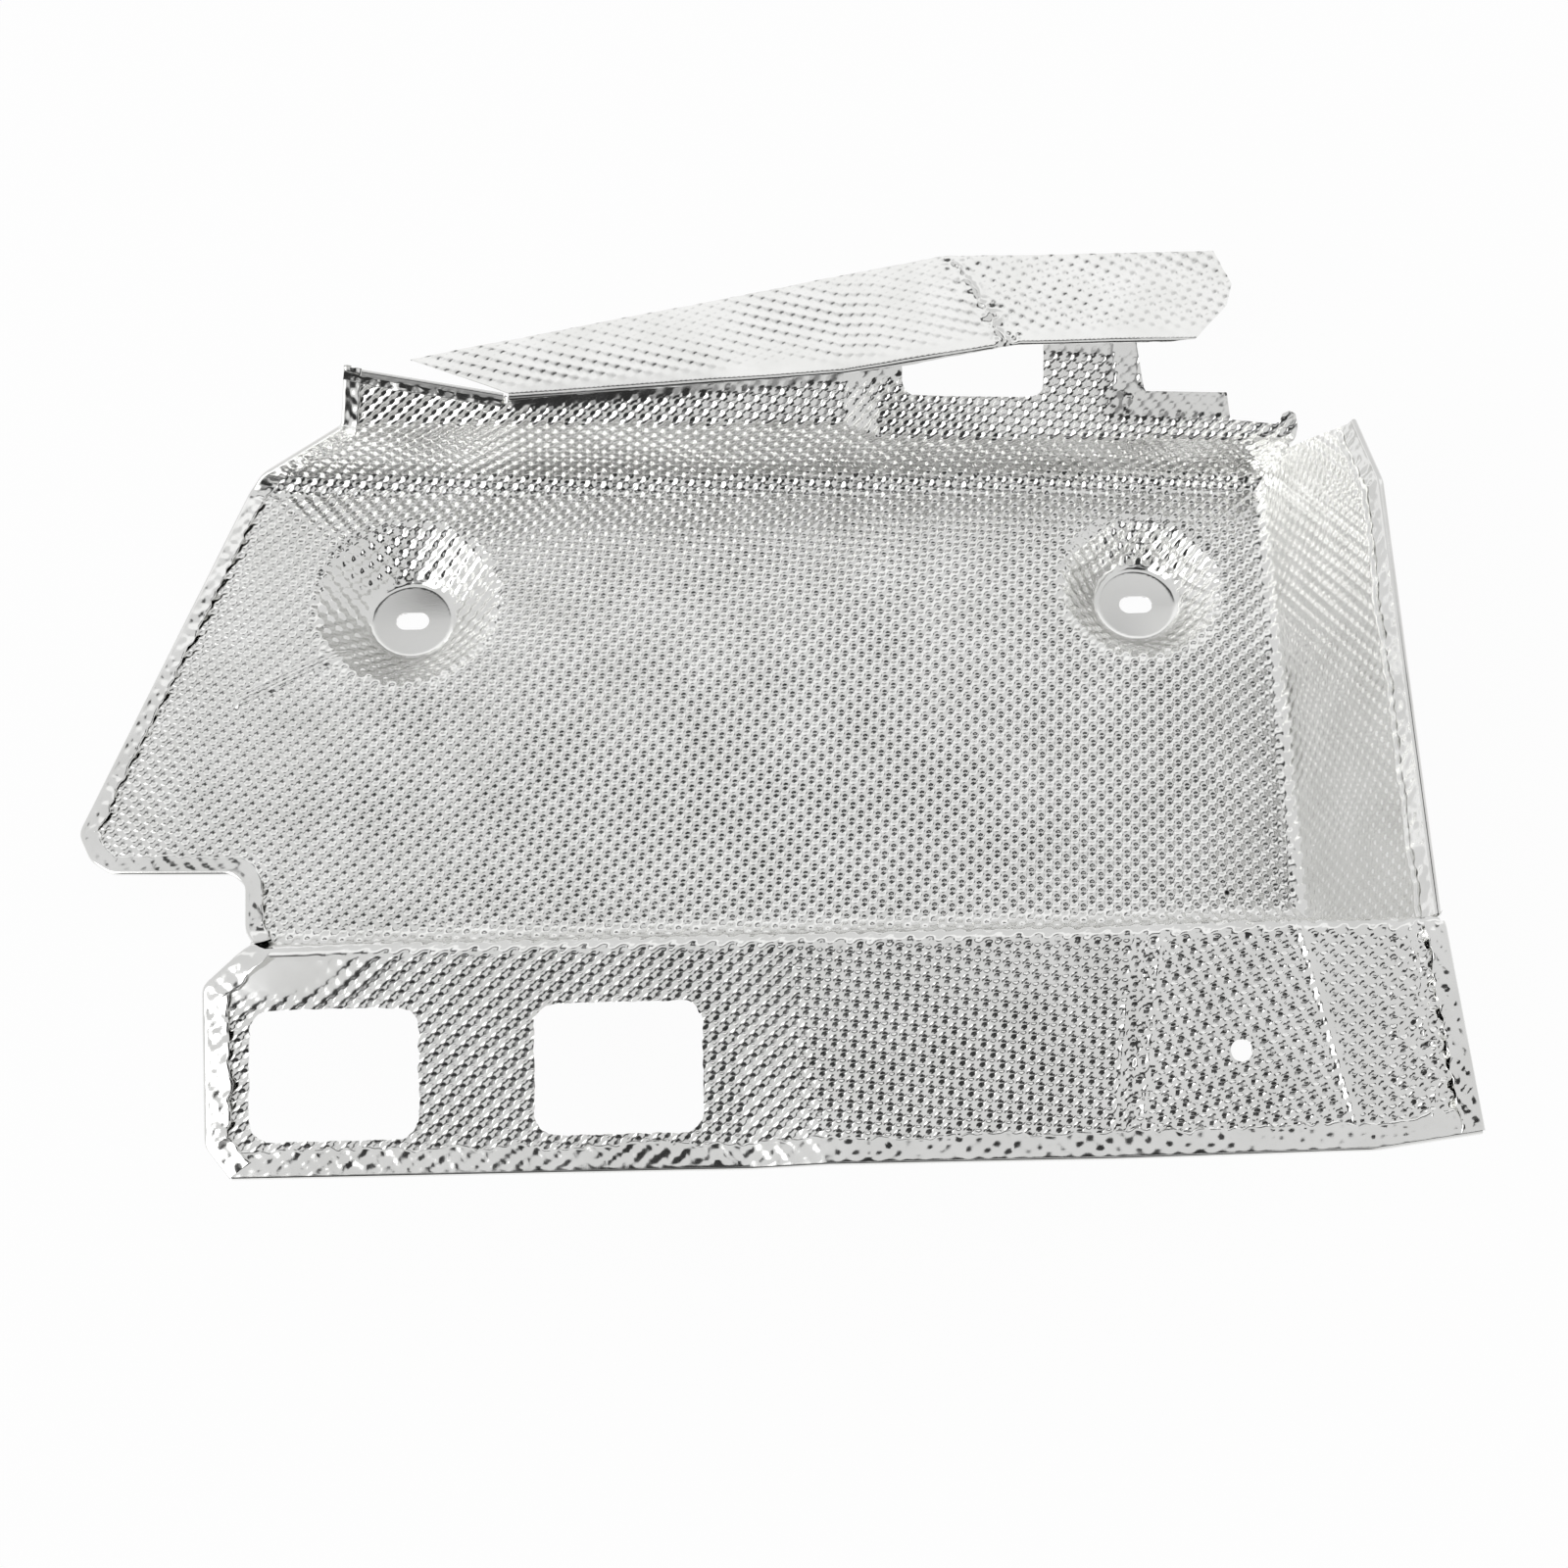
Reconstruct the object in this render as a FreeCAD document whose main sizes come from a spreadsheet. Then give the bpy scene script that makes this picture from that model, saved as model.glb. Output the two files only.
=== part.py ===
"""Heat shield: one embossed aluminium sheet, pressed to a tray with a front skirt and a rear flange.

Frame: X across the car, Y to the rear, Z up, in millimetres. The origin lies midway between the two
fixing slots, on the underside of the fixing dishes. Heights in the table are taken from the tray floor.
"""
import FreeCAD, Part
import Sketcher
import math
import os
from FreeCAD import Vector

SIZES = [
    # Sheet
    ("sheet", 1.0, "thickness of the sheet"),
    ("hem_width", 5.5, "width of the edge that is folded back on itself"),
    ("hem_gap", 0.4, "open slit inside a folded edge, and its relief at a corner"),
    ("hem_root", 0.8, "thickness of a fold where it is let into the sheet's edge"),
    # Front: crest, front wall and skirt
    ("crest_y", -155.5, "line of the front crest"),
    ("crest_height", 73.0, "height of the front crest"),
    ("crest_radius", 5.0, "bend at the crest"),
    ("front_foot_y", -130.5, "line where the front wall meets the floor"),
    ("front_radius", 11.0, "bend between floor and front wall"),
    ("skirt_depth", 64.0, "skirt from crest to lower edge, seen from above"),
    ("skirt_drop_left", 20.0, "fall of the skirt at its left part"),
    ("skirt_drop_middle", 17.0, "fall of the skirt right of the joggle"),
    ("skirt_drop_right", 8.0, "fall of the skirt at the far right"),
    ("joggle_x", -8.5, "middle of the joggle across the skirt"),
    ("joggle_width", 7.0, "width of the joggle"),
    # Back: step, sloping plate and flange
    ("back_y", 47.7, "line where the step leaves the floor, at the middle"),
    ("back_skew", 1.28, "turn of that line, degrees"),
    ("back_radius", 8.0, "bend between floor and step"),
    ("step_lean", 0.6, "lean of the step, seen from above"),
    ("step_left", 35.0, "height of the step on the left"),
    ("step_right", 25.0, "height of the step on the right"),
    ("step_radius", 4.0, "bend at the top of the step"),
    ("jog_x", 32.0, "middle of the jog between the two step heights"),
    ("jog_width", 12.0, "width of that jog"),
    ("flange_radius", 2.5, "bend between plate and flange"),
    ("flange_left_x", -90.8, "left end of the bend into the flange"),
    ("flange_left_y", 56.4, "line of that bend at its left end"),
    ("flange_left", 43.0, "flange height at its left end"),
    ("flange_jog_y", 63.0, "line of the bend at the jog"),
    ("flange_height", 45.0, "flange height from the jog to the right"),
    ("crease_x", 86.0, "crease across the flange"),
    ("crease_y", 73.0, "line of the bend from the crease to the right"),
    # Right wall
    ("wall_foot_x", 175.5, "foot of the right wall, at the middle of its length"),
    ("wall_skew", 1.6, "turn of the right wall, degrees"),
    ("wall_lean", 17.0, "lean of the right wall from upright, degrees"),
    ("wall_radius", 6.0, "bend between floor and right wall"),
    ("wall_top", 70.0, "height of the right wall"),
    ("wall_end_y", -3.0, "rear end of the wall's level top edge"),
    ("wall_chamfer_y", 27.0, "rear end of the sloping top edge"),
    ("wall_chamfer_height", 60.0, "height there"),
    ("wall_notch_y", 38.0, "relief notch between right wall and back"),
    ("wall_notch_height", 33.0, "height of the notch"),
    # Fixing dishes with their slots
    ("slot_spacing", 261.0, "distance between the two slots"),
    ("slot_length", 12.0, "slot, end to end"),
    ("slot_width", 7.0, "slot, across"),
    ("dish_depth", 14.0, "depth of the fixing dishes below the floor"),
    ("dish_flat", 15.0, "radius of the flat"),
    ("dish_left", 32.0, "radius of the left dish at the floor"),
    ("dish_right", 27.0, "radius of the right dish at the floor"),
    ("dish_rim_radius", 8.0, "bend at the rim of a dish"),
    # Openings
    ("window_left_x", -133.0, "middle of the left skirt window"),
    ("window_right_x", -50.0, "middle of the right skirt window"),
    ("window_length", 49.5, "skirt window across"),
    ("window_depth", 36.5, "skirt window from crest side to lower side, seen from above"),
    ("window_inset", 18.3, "crest to window, seen from above"),
    ("window_corner", 6.5, "corner radius of the skirt windows"),
    ("hole_x", 131.7, "round hole in the skirt"),
    ("hole_inset", 37.0, "crest to round hole, seen from above"),
    ("hole_diameter", 6.5, "diameter of the round hole"),
    ("port_left", 46.3, "left side of the opening under the flange"),
    ("port_right", 96.3, "right side of that opening"),
    ("port_sill", 58.0, "lower edge of that opening"),
    ("port_head_left", 66.0, "upper edge of that opening at its left"),
    ("port_head_right", 72.5, "upper edge of that opening at its right"),
    ("port_corner", 4.0, "its lower corner radius"),
    # Left end of the back
    ("ear_foot_x", -149.0, "left end of the step's top"),
    ("ear_lip", 2.0, "height at which the left end leaves the floor"),
    ("ear_top", 53.0, "height of the ear at the left end of the plate"),
    ("slit", 1.2, "slit between ear and flange"),
]

OUTLINE = [
    ("wing_tip", -235.6, -86.8),
    ("wing_front", -230.9, -96.2),
    ("wing_corner", -223.8, -101.0),
    ("notch_lip", -183.4, -102.0),
    ("notch_root", -178.2, -106.5),
    ("crest_left", -156.8, -155.5),
    ("skirt_shoulder", -170.4, -167.0),
    ("skirt_left", -169.3, -210.5),
    ("skirt_corner", -162.2, -219.2),
    ("skirt_end", 168.0, -221.0),
    ("corner_front", 198.5, -217.5),
    ("corner_crest", 195.0, -150.0),
    ("plate_tip", 184.3, 51.4),
    ("plate_end", 182.7, 48.0),
    ("ledge_end", 162.3, 50.0),
    ("ledge_top", 160.8, 57.7),
    ("neck_foot", 131.8, 58.7),
    ("neck_top", 129.0, 71.4),
    ("tongue_front", 149.7, 73.1),
    ("tongue_side", 162.3, 87.5),
    ("tongue_tip", 165.0, 96.0),
    ("tongue_back", 160.0, 110.7),
    ("flange_back", 62.3, 110.8),
    ("flange_bow", 30.5, 104.0),
    ("flange_tip", -125.7, 73.0),
    ("ear_tip", -145.5, 64.0),
    ("wing_back", -186.4, 52.0),
]

MARGIN = 60.0
CLOSE = 0.001
EXACT = 0.000001


def make_sheet(doc):
    """The table of driving sizes, one alias a row."""
    table = doc.addObject("Spreadsheet::Sheet", "Sizes")
    rows = list(SIZES)
    for name, x, y in OUTLINE:
        rows.append((name + "_x", x, "outline seen from above"))
        rows.append((name + "_y", y, "outline seen from above"))
    for number, (name, value, note) in enumerate(rows, start=1):
        table.set("A%d" % number, name)
        table.set("B%d" % number, str(value))
        table.set("C%d" % number, note)
        table.setAlias("B%d" % number, name)
    doc.recompute()
    return table


def offset_line(points, distance):
    """An open polyline moved sideways, to its left, by a distance."""
    moved = []
    for start, end in zip(points, points[1:]):
        along = (end - start).normalize()
        side = Vector(-along.y, along.x, 0) * distance
        moved.append((start + side, along))
    result = [moved[0][0]]
    for (p, a), (q, b) in zip(moved, moved[1:]):
        cross = a.x * b.y - a.y * b.x
        gap = q - p
        reach = (gap.x * b.y - gap.y * b.x) / cross
        result.append(p + a * reach)
    last_side = moved[-1][0] - points[-2]
    result.append(points[-1] + last_side)
    return result


def rounded_edges(points, radii, place):
    """Edges of an open polyline with an arc at each inner corner, put into space by place."""
    edges = []
    start = points[0]
    for before, corner, after, radius in zip(points, points[1:], points[2:], radii):
        back = (before - corner).normalize()
        ahead = (after - corner).normalize()
        half = back.getAngle(ahead) / 2
        reach = radius / math.tan(half)
        middle = (back + ahead).normalize()
        first = corner + back * reach
        last = corner + ahead * reach
        crown = corner + middle * (radius / math.sin(half) - radius)
        edges.append(Part.LineSegment(place(start), place(first)).toShape())
        edges.append(Part.Arc(place(first), place(crown), place(last)).toShape())
        start = last
    edges.append(Part.LineSegment(place(start), place(points[-1])).toShape())
    return edges


def between(knots, x):
    """Values read off a line through knots, each a place followed by its values."""
    for start, end in zip(knots, knots[1:]):
        if x <= end[0]:
            share = (x - start[0]) / (end[0] - start[0])
            return [a + (b - a) * share for a, b in zip(start[1:], end[1:])]
    return list(knots[-1][1:])


def ruled_face(near, far):
    """Face between two edges: a plane or a cylinder where the edges allow it."""
    start = [vertex.Point for vertex in near.Vertexes]
    end = [vertex.Point for vertex in far.Vertexes]
    shift = end[0] - start[0]
    if isinstance(near.Curve, Part.Line):
        normal = (start[1] - start[0]).cross(shift)
        if abs(normal.normalize().dot(end[1] - start[0])) < EXACT:
            return Part.Face(Part.makePolygon([start[0], start[1], end[1], end[0], start[0]]))
    elif (end[1] - start[1] - shift).Length < EXACT:
        if abs(near.Curve.Radius - far.Curve.Radius) < EXACT:
            return near.extrude(shift)
    return Part.makeRuledSurface(near, far)


def ruled_block(sections):
    """Solid through closed sections, each given as its edges in order."""
    faces = [Part.Face(Part.Wire(sections[0])), Part.Face(Part.Wire(sections[-1]))]
    for near, far in zip(sections, sections[1:]):
        faces.extend(ruled_face(a, b) for a, b in zip(near, far))
    shell = Part.makeShell(faces)
    shell.sewShape()
    solid = Part.makeSolid(shell)
    solid.fix(CLOSE, CLOSE, CLOSE)
    return solid


class Form:
    """The pressed shape as a solid block whose top face lies a given offset above mid-sheet."""

    def __init__(self, table, offset):
        self.sizes = {name: table.get(name) for name, _, _ in SIZES}
        self.offset = offset
        for name, x, y in OUTLINE:
            self.sizes[name + "_x"] = table.get(name + "_x")
            self.sizes[name + "_y"] = table.get(name + "_y")
        self.level = self["dish_depth"] + self["sheet"] / 2
        self.left_x = self["wing_tip_x"] - MARGIN
        self.right_x = self["corner_front_x"] + MARGIN
        self.rear_y = self["flange_back_y"] + MARGIN

    def __getitem__(self, name):
        return self.sizes[name]

    def tangent(self, name):
        return math.tan(math.radians(self[name]))

    def back_line(self, x):
        """Y of the line where the step leaves the floor."""
        return self["back_y"] - x * self.tangent("back_skew")

    def step_line(self, x):
        """Y of the top of the step."""
        return self.back_line(x) + self["step_lean"]

    def flange_bend(self, x):
        """Y and height of the bend into the flange, which kinks at the jog and at the crease."""
        knots = [
            (self["flange_left_x"], self["flange_left_y"], self["flange_left"]),
            (self["jog_x"], self["flange_jog_y"], self["flange_height"]),
            (self["crease_x"], self["crease_y"], self["flange_height"]),
            (self.right_x, self["crease_y"], self["flange_height"]),
        ]
        return between(knots, x)

    def ear_bend(self, x):
        """The plate's own plane carried on past the left end of the flange, to crest height."""
        start = self.step_line(self["flange_left_x"])
        slope = (self["flange_left"] - self["step_left"]) / (self["flange_left_y"] - start)
        height = self["crest_height"]
        return self.step_line(x) + (height - self["step_left"]) / slope, height

    def skirt_point(self, x, inset):
        """Point of the skirt's middle plane at an inset from the crest, seen from above."""
        fall = self.skirt_drop(x) * inset / self["skirt_depth"]
        return Vector(x, self["crest_y"] - inset, self.level + self["crest_height"] - fall)

    def skirt_drop(self, x):
        """Fall of the skirt: even on either side of the joggle, less towards the right corner."""
        start = self["joggle_x"] - self["joggle_width"] / 2
        knots = [
            (start, self["skirt_drop_left"]),
            (start + self["joggle_width"], self["skirt_drop_middle"]),
            (self["crease_x"], self["skirt_drop_middle"]),
            (self.right_x, self["skirt_drop_right"]),
        ]
        return between(knots, max(x, start))[0]

    def step_height(self, x):
        return self["step_left"] if x < self["jog_x"] else self["step_right"]

    def section(self, x, bend):
        """Edges of the block's closed section at one station across the shield."""
        front = self.skirt_point(x, self["skirt_depth"] + MARGIN)
        bend_y, bend_height = bend
        corners = [
            (front.y, front.z - self.level),
            (self["crest_y"], self["crest_height"]),
            (self["front_foot_y"], 0),
            (self.back_line(x), 0),
            (self.step_line(x), self.step_height(x)),
            (bend_y, bend_height),
            (self.rear_y, bend_height),
        ]
        middle = [Vector(y, self.level + height, 0) for y, height in corners]
        radii = [
            self["crest_radius"] + self.offset,
            self["front_radius"] - self.offset,
            self["back_radius"] - self.offset,
            self["step_radius"] + self.offset,
            self["flange_radius"] + self.offset,
        ]
        line = offset_line(middle, self.offset)
        edges = rounded_edges(line, radii, lambda p: Vector(x, p.x, p.y))
        closing = [
            Vector(x, line[-1].x, line[-1].y),
            Vector(x, line[-1].x, -MARGIN),
            Vector(x, line[0].x, -MARGIN),
            Vector(x, line[0].x, line[0].y),
        ]
        for start, end in zip(closing, closing[1:]):
            edges.append(Part.LineSegment(start, end).toShape())
        return edges

    def block(self):
        """Skirt, front wall, floor, step, plate and flange, without the right wall."""
        split = self["flange_left_x"]
        half_joggle = self["joggle_width"] / 2
        half_jog = self["jog_width"] / 2
        left = ruled_block([self.section(x, self.ear_bend(x)) for x in (self.left_x, split)])
        stations = [
            split,
            self["joggle_x"] - half_joggle,
            self["joggle_x"] + half_joggle,
            self["jog_x"] - half_jog,
            self["jog_x"] + half_jog,
            self["crease_x"],
            self.right_x,
        ]
        main = ruled_block([self.section(x, self.flange_bend(x)) for x in stations])
        return left.fuse(main)

    def wall_x(self, y, z):
        """X of the right wall's face."""
        middle_y = (self["front_foot_y"] + self["back_y"]) / 2
        foot = self["wall_foot_x"] + (y - middle_y) * self.tangent("wall_skew")
        shift = self.offset / math.cos(math.radians(self["wall_lean"]))
        return foot + (z - self.level) * self.tangent("wall_lean") - shift

    def wall_span(self):
        """Front and rear ends of the right wall's block, past the crest and past the plate."""
        front = self["crest_y"] - 2 * self["crest_radius"]
        return front, self["flange_back_y"]

    def wall_bend(self):
        """Bend radius at the foot of the right wall, which rolls inside the bends that it crosses."""
        room = min(self["back_radius"], self["front_radius"]) - self["sheet"]
        return min(self["wall_radius"], room) - self.offset

    def wall_block(self):
        """Block to the right of the right wall."""
        top = self.level + self["crest_height"] + MARGIN
        ends = []
        for y in self.wall_span():
            corners = [
                Vector(self.wall_x(y, -MARGIN), y, -MARGIN),
                Vector(self.right_x, y, -MARGIN),
                Vector(self.right_x, y, top),
                Vector(self.wall_x(y, top), y, top),
            ]
            ends.append(Part.makePolygon(corners + corners[:1]).Edges)
        return ruled_block(ends)

    def wall_edges(self, shape):
        """Edges where the right wall's face runs into the rest of the block."""
        front, rear = self.wall_span()
        found = []
        for edge in shape.Edges:
            middle = edge.valueAt((edge.FirstParameter + edge.LastParameter) / 2)
            points = [vertex.Point for vertex in edge.Vertexes] + [middle]
            on_face = all(abs(p.x - self.wall_x(p.y, p.z)) < CLOSE for p in points)
            within = front + CLOSE < middle.y < rear - CLOSE
            low = middle.z < self.level + self["crest_height"] + self["crest_radius"]
            above = middle.z > 0
            if on_face and within and low and above:
                found.append(edge)
        return found

    def dish(self, side):
        """Conical tool of one fixing dish, its foot and its radius at the floor."""
        rim = self["dish_left"] if side < 0 else self["dish_right"]
        angle = math.atan2(self["dish_depth"], rim - self["dish_flat"])
        shrink = self.offset * math.tan(angle / 2)
        low = self["dish_flat"] - shrink
        high = rim - shrink
        run_out = self["sheet"]
        foot = Vector(side * self["slot_spacing"] / 2, 0, self["sheet"] / 2 + self.offset)
        depth = self["dish_depth"] + run_out
        tool = Part.makeCone(low, high + run_out / math.tan(angle), depth, foot)
        return tool, foot, high

    def solid(self):
        """The whole block with bends rounded."""
        shape = self.block().fuse(self.wall_block()).removeSplitter()
        shape = shape.makeFillet(self.wall_bend(), self.wall_edges(shape))
        for side in (-1, 1):
            tool, foot, high = self.dish(side)
            shape = shape.cut(tool)
            floor = foot + Vector(0, 0, self["dish_depth"])
            rim = circles(shape, floor, high)
            shape = shape.makeFillet(self["dish_rim_radius"] + self.offset, rim)
        return shape


def circles(shape, centre, radius):
    """Circular edges of a shape about a centre."""
    found = []
    for edge in shape.Edges:
        if isinstance(edge.Curve, Part.Circle):
            near = edge.Curve.Center.distanceToPoint(centre) < CLOSE
            if near and abs(edge.Curve.Radius - radius) < CLOSE:
                found.append(edge)
    return found


PLANES = {
    "XY": FreeCAD.Rotation(),
    "XZ": FreeCAD.Rotation(Vector(1, 0, 0), 90),
    "YZ": FreeCAD.Rotation(Vector(1, 1, 1), 120),
}
LEVEL = "(Sizes.dish_depth + Sizes.sheet / 2)"
CEILING = "(%s + Sizes.crest_height + %s)" % (LEVEL, MARGIN)
LEFT = "(Sizes.wing_tip_x - %s)" % MARGIN
RIGHT = "(Sizes.corner_front_x + %s)" % MARGIN
REAR = "(Sizes.flange_back_y + %s)" % MARGIN


def raised(height):
    """Expression for a height above the floor."""
    return "(%s + Sizes.%s)" % (LEVEL, height)


def corner(name):
    """Expressions for a named corner of the outline."""
    return "Sizes.%s_x" % name, "Sizes.%s_y" % name


def prism(doc, name, plane, corners, forward, reverse):
    """Straight-sided tool: a polygon sketch, every corner bound to the table, extruded both ways."""
    sketch = doc.addObject("Sketcher::SketchObject", name + "Sketch")
    sketch.Placement = FreeCAD.Placement(Vector(), PLANES[plane])
    places = []
    for across, up in corners:
        places.append(Vector(float(sketch.evalExpression(across)), float(sketch.evalExpression(up)), 0))
    for start, end in zip(places, places[1:] + places[:1]):
        sketch.addGeometry(Part.LineSegment(start, end))
    for number in range(len(places)):
        following = (number + 1) % len(places)
        sketch.addConstraint(Sketcher.Constraint("Coincident", number, 2, following, 1))
    for number, (across, up) in enumerate(corners):
        place = places[number]
        for kind, value, text in (("DistanceX", place.x, across), ("DistanceY", place.y, up)):
            index = sketch.addConstraint(Sketcher.Constraint(kind, -1, 1, number, 1, value))
            sketch.setExpression("Constraints[%d]" % index, text)
    tool = doc.addObject("Part::Extrusion", name)
    tool.Base = sketch
    tool.DirMode = "Normal"
    tool.Solid = True
    tool.setExpression("LengthFwd", forward)
    tool.setExpression("LengthRev", reverse)
    return tool


def rounded(doc, name, base, radius, edges):
    """A tool with some of its upright edges rounded."""
    doc.recompute()
    tool = doc.addObject("Part::Fillet", name)
    tool.Base = base
    tool.Edges = [(number, radius, radius) for number in edges(base.Shape)]
    return tool


def upright_edges(shape, below=None):
    """Numbers of the edges along Z, all of them or those in front of a line."""
    found = []
    for number, edge in enumerate(shape.Edges, start=1):
        along = edge.tangentAt(edge.FirstParameter)
        in_front = below is None or edge.Vertexes[0].Y < below + CLOSE
        if abs(along.z) > 1 - CLOSE and in_front:
            found.append(number)
    return found


def make_form(doc, table, name, offset):
    block = doc.addObject("Part::Feature", name)
    block.Shape = Form(table, offset).solid()
    return block


def make_pressing(doc, table):
    """The sheet as it leaves the press: the gap between the upper and the lower form."""
    half = table.get("sheet") / 2
    pressing = doc.addObject("Part::Cut", "Pressing")
    pressing.Base = make_form(doc, table, "UpperForm", half)
    pressing.Tool = make_form(doc, table, "LowerForm", -half)
    return pressing


def flange_back_at(name):
    """Expression for the Y of the flange's back edge at a place across the shield."""
    rise = "(Sizes.flange_bow_y - Sizes.flange_tip_y) / (Sizes.flange_bow_x - Sizes.flange_tip_x)"
    return "Sizes.flange_tip_y + (Sizes.%s - Sizes.flange_tip_x) * %s" % (name, rise)


def make_blank(doc):
    """Outline of the sheet seen from above."""
    corners = [corner(name) for name, _, _ in OUTLINE]
    names = [name for name, _, _ in OUTLINE]
    beyond_wall = [(RIGHT, "Sizes.corner_crest_y"), (RIGHT, "Sizes.plate_tip_y")]
    after_wall = names.index("plate_tip")
    before_tip = names.index("flange_tip")
    before_wing = names.index("wing_back")
    split = [
        ("Sizes.flange_left_x", flange_back_at("flange_left_x")),
        ("Sizes.flange_left_x", "Sizes.flange_left_y"),
    ]
    behind_wing = [("Sizes.wing_back_x", "Sizes.ear_tip_y")]
    corners = (
        corners[:after_wall]
        + beyond_wall
        + corners[after_wall:before_tip]
        + split
        + corners[before_tip + 1:before_wing]
        + behind_wing
        + corners[before_wing:]
    )
    return prism(doc, "Blank", "XY", corners, CEILING, str(MARGIN))


def make_wall_trim(doc):
    """What is cut away above the right wall's top edge."""
    above_crest = "(%s + Sizes.sheet)" % raised("crest_height")
    front = "(Sizes.crest_y - 3 * Sizes.crest_radius)"
    corners = [
        (front, above_crest),
        ("Sizes.corner_crest_y", above_crest),
        ("Sizes.corner_crest_y", raised("wall_top")),
        ("Sizes.wall_end_y", raised("wall_top")),
        ("Sizes.wall_chamfer_y", raised("wall_chamfer_height")),
        ("Sizes.wall_notch_y", raised("wall_notch_height")),
        (REAR, raised("wall_notch_height")),
        (REAR, CEILING),
        (front, CEILING),
    ]
    return prism(doc, "WallTrim", "YZ", corners, RIGHT, "-Sizes.wall_foot_x")


def make_ear_trim(doc):
    """What is cut away left of the back's sloping left end."""
    corners = [
        (LEFT, raised("ear_lip")),
        ("Sizes.wing_back_x", raised("ear_lip")),
        ("Sizes.ear_foot_x", raised("step_left")),
        ("Sizes.ear_tip_x", raised("ear_top")),
        ("Sizes.ear_tip_x", CEILING),
        (LEFT, CEILING),
    ]
    front = "-(Sizes.back_y - Sizes.back_radius)"
    return prism(doc, "EarTrim", "XZ", corners, front, REAR)


def make_flange_tip(doc):
    """Free tip of the flange, left of the bend and behind the ear."""
    corners = [
        ("Sizes.flange_left_x", "Sizes.flange_left_y + Sizes.slit"),
        ("Sizes.flange_left_x", flange_back_at("flange_left_x")),
        corner("flange_tip"),
    ]
    low = "(%s - Sizes.sheet / 2)" % raised("flange_left")
    return prism(doc, "FlangeTip", "XY", corners, low + " + Sizes.sheet", "-" + low)


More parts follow.
